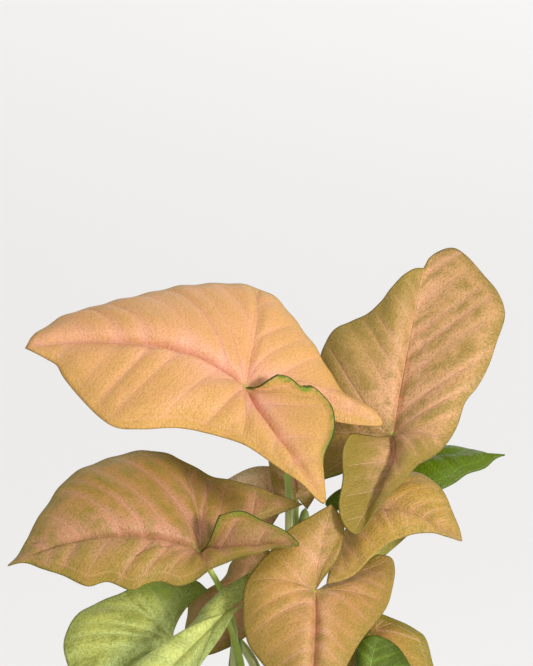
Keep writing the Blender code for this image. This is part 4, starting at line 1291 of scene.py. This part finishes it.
def inner_radius(height):
    """The radius of the pot's inside at a height."""
    share = (height - FLOOR) / (POT_HEIGHT - FLOOR)
    return FOOT_RADIUS - WALL + (MOUTH_RADIUS - FOOT_RADIUS + WALL) * share


def clay_look():
    """Fired clay: sandy grain, faint turning lines, lime bloom and a damp foot."""
    look = Look("fired_clay")
    place = look.place()
    z = look.parts(place)[2]
    grain = look.noise(place, 1800.0, 3.0)
    cloud = look.noise(place, 28.0, 5.0)
    bloom = look.noise(place, 14.0, 6.0)
    lines = look.noise(place, 260.0, 2.0, (0.02, 0.02, 1.0))
    pit = look.cells(place, 420.0, "F1")
    high = z.rise(0.03, 0.08) * (1 - z.rise(0.09, 0.106) * 0.6)
    clay, damp, sand, lime = pot_shades("clay", "damp_clay", "sand", "lime_bloom")
    colour = look.paint(
        clay,
        (cloud.rise(0.3, 0.75), damp),
        (grain.rise(0.5, 0.8) * 0.35, sand),
        (bloom.rise(0.52, 0.78) * 0.55 * high, lime),
        ((1 - z.rise(0.0, 0.02)) * 0.4, damp),
        # The pits take the darker clay colour: painted shade in the hollows
        ((1 - pit.rise(0.08, 0.22)) * 0.3, damp),
    )
    roughness = 0.85 + (cloud - 0.5) * 0.15
    height = grain * 0.4 + lines * 1.2 + cloud * 0.5 - (1 - pit.rise(0.05, 0.25)) * 0.8
    return look.finish(colour, roughness, height, CLAY_BUMP, Specular_IOR_Level=0.25)


def soil_look():
    """Potting mix: dark peat crumbs, brown bark and white grit."""
    look = Look("potting_mix")
    kind = look.parts(look.attribute("kind"))[0]
    place = look.place()
    grain = look.noise(place, 1500.0, 4.0)
    cloud = look.noise(place, 160.0, 4.0)
    fibre = look.noise(place, 700.0, 3.0, (1.0, 0.15, 1.0))
    peat, dry, bark, dark_bark = pot_shades("peat", "dry_peat", "bark", "dark_bark")
    colour = look.paint(
        peat,
        (cloud.rise(0.35, 0.7), dry),
        (grain.rise(0.55, 0.8) * 0.6, dry),
        (kind.rise(0.4, 0.6) * (1 - kind.rise(1.4, 1.6)), look.mix(fibre, dark_bark, bark)),
        (kind.rise(1.4, 1.6), look.mix(grain, *pot_shades("grit", "pale_grit"))),
    )
    height = grain * 0.7 + cloud
    return look.finish(colour, 0.95 - cloud * 0.1, height, SOIL_BUMP, Specular_IOR_Level=0.2)


def soil_height(radius, angle):
    """The height of the soil's surface before its crumbs, lowest at the pot's wall."""
    rough = math.sin(3 * angle + radius * 0.31) + math.sin(7 * angle - radius * 0.47)
    rough += math.sin(radius * 0.9 + 2 * angle)
    return SOIL_TOP + SOIL_CROWN - radius**2 / SOIL_FALL + SOIL_RELIEF * rough


def crumble(shape, outer):
    """Give the soil's top its relief and its crumbs."""
    for vertex in shape.verts:
        x, y, z = vertex.co / MM
        radius = math.hypot(x, y)
        if z < SOIL_TOP - 2 or radius > outer - 0.2:
            continue
        inside = min(1.0, (outer - radius) / SOIL_MARGIN)
        lumps = noise.fractal(Vector((x, y, 3.0)) * LUMPS[0], 0.8, 2.2, 4) * LUMPS[1]
        crumbs = abs(noise.noise(Vector((x, y, 9.0)) * CRUMBS[0])) * CRUMBS[1]
        height = soil_height(radius, math.atan2(y, x)) + lumps + crumbs - SOIL_SINK
        vertex.co.z = (SOIL_TOP + (height - SOIL_TOP) * inside) * MM


def scatter(shape, kind_layer, kind, count, sizes, flatten, draw):
    """Press small lumps of one kind into the soil's top."""
    outer = inner_radius(SOIL_TOP) - BIT_MARGIN
    for _ in range(count):
        radius = outer * math.sqrt(draw.random())
        angle = draw.random() * math.tau
        size = draw.uniform(*sizes)
        x, y = radius * math.cos(angle), radius * math.sin(angle)
        spot = Vector((x, y, soil_height(radius, angle) + size * BIT_LIFT)) * MM
        turn = Matrix.Rotation(draw.random() * math.tau, 4, "Z")
        lean = Matrix.Rotation(draw.uniform(-BIT_LEAN, BIT_LEAN), 4, "X")
        squash = Matrix.Diagonal((1.0, draw.uniform(*BIT_WIDTHS), flatten, 1.0))
        place = Matrix.Translation(spot) @ turn @ lean @ squash
        made = bmesh.ops.create_icosphere(shape, subdivisions=2, radius=size * MM, matrix=place)
        for vertex in made["verts"]:
            wobble = 1 + BIT_WOBBLE[0] * noise.noise(vertex.co * BIT_WOBBLE[1])
            vertex.co = spot + (vertex.co - spot) * wobble
            vertex[kind_layer] = Vector((kind, 0, 0))


# The colours that the leaves, stalks and stems are painted with
LEAF_SHADES = {
    "peach": (0.71, 0.36, 0.151),
    "blush": (0.81, 0.39, 0.286),
    "amber": (0.54, 0.275, 0.085),
    "gold": (0.58, 0.34, 0.075),
    # Cream is partly the rear left leaf's own pale colour, partly painted light that makes up for
    # the shade it sits in under the upper leaves
    "cream": (0.93, 0.68, 0.42),
    "tan": (0.594, 0.334, 0.138),
    "umber": (0.30, 0.21, 0.032),
    "fawn": (0.68, 0.37, 0.20),
    "fern": (0.30, 0.225, 0.028),
    "clay_pink": (0.64, 0.34, 0.19),
    "olive": (0.443, 0.235, 0.066),
    "rosewood": (0.564, 0.27, 0.158),
    "pale": (0.54, 0.56, 0.14),
    "lime": (0.58, 0.68, 0.24),
    "mid": (0.20, 0.28, 0.045),
    "bright": (0.105, 0.17, 0.002),
    "dark": (0.060, 0.095, 0.004),
    "moss": (0.17, 0.155, 0.008),
    "underside": (0.26, 0.33, 0.07),
    "outline": (0.045, 0.065, 0.006),
    "vein_pink": (0.74, 0.37, 0.25),
    "vein_fawn": (0.72, 0.40, 0.24),
    "vein_rose": (0.70, 0.35, 0.23),
    "vein_lime": (0.58, 0.62, 0.22),
    "vein_green": (0.20, 0.38, 0.03),
    "stalk_green": (0.30, 0.40, 0.05),
    "stalk_rose": (0.52, 0.32, 0.14),
    "stalk_pale": (0.58, 0.55, 0.30),
    "stem_green": (0.22, 0.28, 0.06),
    "leaf_scar": (0.20, 0.14, 0.07),
}
POT_SHADES = {
    "clay": (0.50, 0.20, 0.105),
    "damp_clay": (0.33, 0.12, 0.06),
    "sand": (0.62, 0.34, 0.20),
    "lime_bloom": (0.66, 0.52, 0.43),
    "peat": (0.030, 0.019, 0.012),
    "dry_peat": (0.085, 0.052, 0.030),
    "bark": (0.22, 0.12, 0.06),
    "dark_bark": (0.07, 0.035, 0.02),
    "grit": (0.5, 0.47, 0.42),
    "pale_grit": (0.78, 0.76, 0.72),
}
STAGE_SHADES = {
    "floor": (0.955, 0.945, 0.935),
    "floor_cloud": (0.91, 0.90, 0.89),
    "key_colour": (1.0, 0.985, 0.96),
    "fill_colour": (0.97, 0.99, 1.0),
    "back_colour": (1.0, 1.0, 1.0),
}


def sized(kind, name, description, default, **rest):
    """A number of the sidebar, which can't go below nothing."""
    return kind(name=name, description=description, default=default, min=0, **rest)


def add_shades(group, shades):
    """Give a group of settings one colour for each shade."""
    for key, shade in shades.items():
        name = key.replace("_", " ").capitalize()
        group.__annotations__[key] = FloatVectorProperty(
            name=name, description=f"Colour of: {name}", default=shade, subtype="COLOR",
            min=0, max=1,
        )


def shade_of(holder, name):
    """A colour from the sidebar."""
    return tuple(getattr(getattr(bpy.context.scene, holder), name))


def pot_shades(*names):
    """Colours of the pot and the soil."""
    return [shade_of("plant_pot", name) for name in names]


class LeafSizes(bpy.types.PropertyGroup):
    """How the blades are made."""

    thickness: sized(FloatProperty, "Thickness", "Thickness of a blade", 0.00055, unit="LENGTH")
    facet: sized(FloatProperty, "Facet", "Size of facets at the margin", 0.0013, unit="LENGTH")
    puff: sized(FloatProperty, "Puff", "Swelling between the side veins", 0.0013, unit="LENGTH")
    lip: sized(FloatProperty, "Lip", "Curl of the margin beside the notch", 0.0014, unit="LENGTH")
    groove: sized(FloatProperty, "Groove", "How deep the main ribs lie", 0.0007, unit="LENGTH")
    ripple: sized(FloatProperty, "Ripple", "How far the margin waves", 0.0005, unit="LENGTH")


class LeafColours(bpy.types.PropertyGroup):
    """The colours of the leaves, stalks and stems."""


class StalkSizes(bpy.types.PropertyGroup):
    """How the stalks are made."""

    sides: sized(IntProperty, "Sides", "Sides round a stalk", 28)
    steps: sized(IntProperty, "Steps", "Rings along a stalk", 60)
    sheath: sized(FloatProperty, "Sheath", "Share that the sheath covers", 0.42, subtype="FACTOR")
    wing: sized(FloatProperty, "Wing", "How far its edges stand out", 0.45, subtype="FACTOR")


class PotLook(bpy.types.PropertyGroup):
    """The pot and the soil."""

    sides: sized(IntProperty, "Sides", "Sides round the pot", 144)
    bark_bits: sized(IntProperty, "Bark bits", "Bits of bark on the soil", 110)
    grit_bits: sized(IntProperty, "Grit grains", "Grains of white grit on the soil", 70)


class StageLook(bpy.types.PropertyGroup):
    """The floor and the light."""

    key: sized(FloatProperty, "Key", "Main light", 53.0, unit="POWER")
    fill: sized(FloatProperty, "Fill", "Fill light", 5.0, unit="POWER")
    back: sized(FloatProperty, "Back", "Light on the floor behind", 20.0, unit="POWER")
    sky: sized(FloatProperty, "Sky", "Light from all round", 0.66)


add_shades(LeafColours, LEAF_SHADES)
add_shades(PotLook, POT_SHADES)
add_shades(StageLook, STAGE_SHADES)


class PLANT_OT_front_leaves(bpy.types.Operator):
    """Make the leaves that the front shows"""

    bl_idname = "plant.front_leaves"
    bl_label = "Front Leaves"

    def execute(self, context):
        for name in list(LEAVES)[:FRONT_LEAVES]:
            add_leaf(name, LEAVES[name])
        return {"FINISHED"}


class PLANT_OT_other_leaves(bpy.types.Operator):
    """Make the leaves low down and at the back"""

    bl_idname = "plant.other_leaves"
    bl_label = "Other Leaves"

    def execute(self, context):
        for name in list(LEAVES)[FRONT_LEAVES:]:
            add_leaf(name, LEAVES[name])
        return {"FINISHED"}


class PLANT_OT_stalks(bpy.types.Operator):
    """Make each leaf's stalk, with its sheath"""

    bl_idname = "plant.stalks"
    bl_label = "Stalks"

    def execute(self, context):
        sizes = context.scene.plant_stalks
        looks = {name: stalk_look(name, blush) for name, blush in STALK_BLUSHES.items()}
        for name, leaf in LEAVES.items():
            line, facing = stalk_path(leaf, sizes.steps)
            mesh = tube_mesh(name, line, facing, stalk_radius(sizes), sizes.sides)
            slot = FINISHES[name].stalk
            mesh.materials.append(looks[slot])
            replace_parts(add_piece(f"{name}_petiole", mesh), f"stalk_{name}")
        return {"FINISHED"}


class PLANT_OT_stems(bpy.types.Operator):
    """Make the stems that the stalks grow from"""

    bl_idname = "plant.stems"
    bl_label = "Stems"

    def execute(self, context):
        skin = stem_look()
        for name, points in STEMS.items():
            line = smooth_curve(points, STEM_STEPS)
            mesh = tube_mesh(name, line, np.array([0.0, -1.0, 0.0]), stem_outline, STEM_SIDES)
            mesh.materials.append(skin)
            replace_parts(add_piece(f"{name}_shoot", mesh), name)
        return {"FINISHED"}


def stem_outline(angles, share):
    """A stem's radius, with a swelling at each joint and a tapered tip."""
    ring = abs(math.sin(share * STEM_RINGS)) ** RING_SHARPNESS
    past = max(0.0, (share - STEM_TIP_FROM) / (1 - STEM_TIP_FROM))
    tip = max(STEM_TIP_LEAST, math.sqrt(max(0.0, 1 - past**2)))
    count, depth = STEM_RIDGES
    return stem_radius(share) * (1 + STEM_SWELL * ring + depth * np.cos(count * angles)) * tip


class PLANT_OT_pot(bpy.types.Operator):
    """Make the clay pot"""

    bl_idname = "plant.pot"
    bl_label = "Pot"

    def execute(self, context):
        collar = POT_HEIGHT - RIM_HEIGHT
        corners = [
            (0, 0),
            (FOOT_RADIUS, 0),
            (BODY_TOP_RADIUS, collar - COLLAR_SLOPE),
            (RIM_RADIUS, collar),
            (RIM_RADIUS + COLLAR_LEAN, POT_HEIGHT),
            (inner_radius(POT_HEIGHT), POT_HEIGHT),
            (inner_radius(FLOOR), FLOOR),
            (0, FLOOR),
        ]
        shape = lathe(rounded(corners, POT_ROUNDS), context.scene.plant_pot.sides)
        piece = add_piece("clay_pot", mesh_of("clay_pot", shape))
        piece.data.set_sharp_from_angle(angle=SHARP_EDGE)
        piece.data.materials.append(clay_look())
        cut_drains(piece)
        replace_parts(piece, "pot")
        return {"FINISHED"}


def cut_drains(piece):
    """Cut the drain holes through the pot's floor."""
    shape = bmesh.new()
    radius = DRAIN_RADIUS * MM
    for hole in range(DRAIN_HOLES):
        turn = math.tau * hole / DRAIN_HOLES + math.pi / 2
        spot = Vector((DRAIN_CIRCLE * math.cos(turn), DRAIN_CIRCLE * math.sin(turn), 0)) * MM
        bmesh.ops.create_cone(
            shape, cap_ends=True, segments=DRAIN_SIDES, radius1=radius, radius2=radius,
            depth=FLOOR * 3 * MM, matrix=Matrix.Translation(spot),
        )
    cutter = linked("drains", mesh_of("drains", shape, smooth=False))
    cut = piece.modifiers.new("drains", "BOOLEAN")
    cut.operation = "DIFFERENCE"
    cut.solver = "EXACT"
    cut.object = cutter
    bpy.context.view_layer.update()
    drained = piece.evaluated_get(bpy.context.evaluated_depsgraph_get())
    holed = bpy.data.meshes.new_from_object(drained)
    piece.modifiers.clear()
    piece.data = holed
    bpy.data.objects.remove(cutter, do_unlink=True)


class PLANT_OT_soil(bpy.types.Operator):
    """Make the potting soil, with its crumbs, bark and grit"""

    bl_idname = "plant.soil"
    bl_label = "Soil"

    def execute(self, context):
        sizes = context.scene.plant_pot
        outer = inner_radius(SOIL_TOP) - GAP
        foot = inner_radius(FLOOR) - FLOOR_CHAMFER - GAP
        bevel = FLOOR + FLOOR_CHAMFER
        top = [(radius, SOIL_TOP) for radius in np.linspace(0, outer, SOIL_RINGS)]
        wall = [(inner_radius(bevel) - GAP, bevel + GAP), (foot, FLOOR + GAP), (0, FLOOR + GAP)]
        shape = lathe(top + wall, sizes.sides)
        kinds = shape.verts.layers.float_vector.new("kind")
        crumble(shape, outer)
        draw = random.Random(SOIL_SEED)
        scatter(shape, kinds, 1.0, sizes.bark_bits, BARK_SIZES, BARK_FLATNESS, draw)
        scatter(shape, kinds, 2.0, sizes.grit_bits, GRIT_SIZES, GRIT_FLATNESS, draw)
        piece = add_piece("potting_soil", mesh_of("potting_soil", shape))
        piece.data.materials.append(soil_look())
        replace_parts(piece, "soil")
        return {"FINISHED"}


class PLANT_OT_stage(bpy.types.Operator):
    """Make the floor, the lights and the camera"""

    bl_idname = "plant.stage"
    bl_label = "Stage"

    def execute(self, context):
        add_floor()
        for name, (place, aim, size) in LIGHTS.items():
            power = getattr(context.scene.plant_stage, name)
            add_light(name, power, place, aim, size, shade_of("plant_stage", f"{name}_colour"))
        add_sky(context.scene.plant_stage.sky)
        add_camera()
        context.scene.view_settings.view_transform = "Standard"
        return {"FINISHED"}


def add_floor():
    """A wide plain floor."""
    shape = bmesh.new()
    bmesh.ops.create_grid(shape, x_segments=8, y_segments=8, size=FLOOR_REACH)
    floor = linked("floor", mesh_of("floor", shape, smooth=False))
    look = Look("floor")
    cloud = look.noise(look.place(), 0.8, 2.0)
    plain, clouded = shade_of("plant_stage", "floor"), shade_of("plant_stage", "floor_cloud")
    floor.data.materials.append(look.finish(look.mix(cloud * 0.12, plain, clouded), 0.9))


def add_light(name, power, place, aim, size, colour):
    """A square soft light that looks from its place at another."""
    light = bpy.data.lights.new(name, "AREA")
    light.energy, light.size, light.color = power, size, colour
    lamp = linked(name, light)
    lamp.location = place
    lamp.rotation_euler = (Vector(aim) - Vector(place)).to_track_quat("-Z", "Y").to_euler()


def add_sky(strength):
    """Even white light from all round."""
    world = bpy.data.worlds.new("sky")
    world.use_nodes = True
    shade = world.node_tree.nodes["Background"]
    shade.inputs["Color"].default_value = (1.0, 1.0, 1.0, 1.0)
    shade.inputs["Strength"].default_value = strength
    bpy.context.scene.world = world


def add_camera():
    """The camera, at the photograph's angle."""
    camera = bpy.data.cameras.new("camera")
    camera.sensor_width = SENSOR
    camera.lens = SENSOR * VIEW_DISTANCE / PICTURE_HEIGHT
    camera.clip_end = CLIP_END
    holder = linked("camera", camera)
    back = Vector((0, -math.cos(VIEW_TILT), math.sin(VIEW_TILT)))
    holder.location = Vector(seen(*PICTURE_CENTRE, 0)) * MM + back * VIEW_DISTANCE * MM
    holder.rotation_euler = (-back).to_track_quat("-Z", "Y").to_euler()
    bpy.context.scene.camera = holder


class PLANT_PT_parts(bpy.types.Panel):
    """The plant's parts in the sidebar"""

    bl_label = "Arrowhead Plant"
    bl_idname = "PLANT_PT_parts"
    bl_space_type = "VIEW_3D"
    bl_region_type = "UI"
    bl_category = "Plant"

    def draw(self, context):
        for operator in OPERATORS:
            self.layout.operator(operator.bl_idname)
        for holder in GROUPS:
            settings = getattr(context.scene, holder)
            box = self.layout.box()
            for key in settings.bl_rna.properties.keys():
                if key not in ("rna_type", "name"):
                    box.prop(settings, key)


GROUPS = {
    "plant_leaves": LeafSizes,
    "plant_colours": LeafColours,
    "plant_stalks": StalkSizes,
    "plant_pot": PotLook,
    "plant_stage": StageLook,
}
OPERATORS = (
    PLANT_OT_front_leaves,
    PLANT_OT_other_leaves,
    PLANT_OT_stalks,
    PLANT_OT_stems,
    PLANT_OT_pot,
    PLANT_OT_soil,
    PLANT_OT_stage,
)


def register():
    """Make the settings, the operators and the panel known to Blender."""
    for holder, group in GROUPS.items():
        bpy.utils.register_class(group)
        setattr(bpy.types.Scene, holder, PointerProperty(type=group))
    for kind in OPERATORS + (PLANT_PT_parts,):
        bpy.utils.register_class(kind)


def unregister():
    """Take them away again."""
    for kind in (PLANT_PT_parts,) + OPERATORS:
        bpy.utils.unregister_class(kind)
    for holder, group in GROUPS.items():
        delattr(bpy.types.Scene, holder)
        bpy.utils.unregister_class(group)


def main():
    """Make every part in turn."""
    register()
    bpy.ops.plant.front_leaves()
    bpy.ops.plant.other_leaves()
    bpy.ops.plant.stalks()
    bpy.ops.plant.stems()
    bpy.ops.plant.pot()
    bpy.ops.plant.soil()
    bpy.ops.plant.stage()
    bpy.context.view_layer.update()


if __name__ == "__main__":
    main()
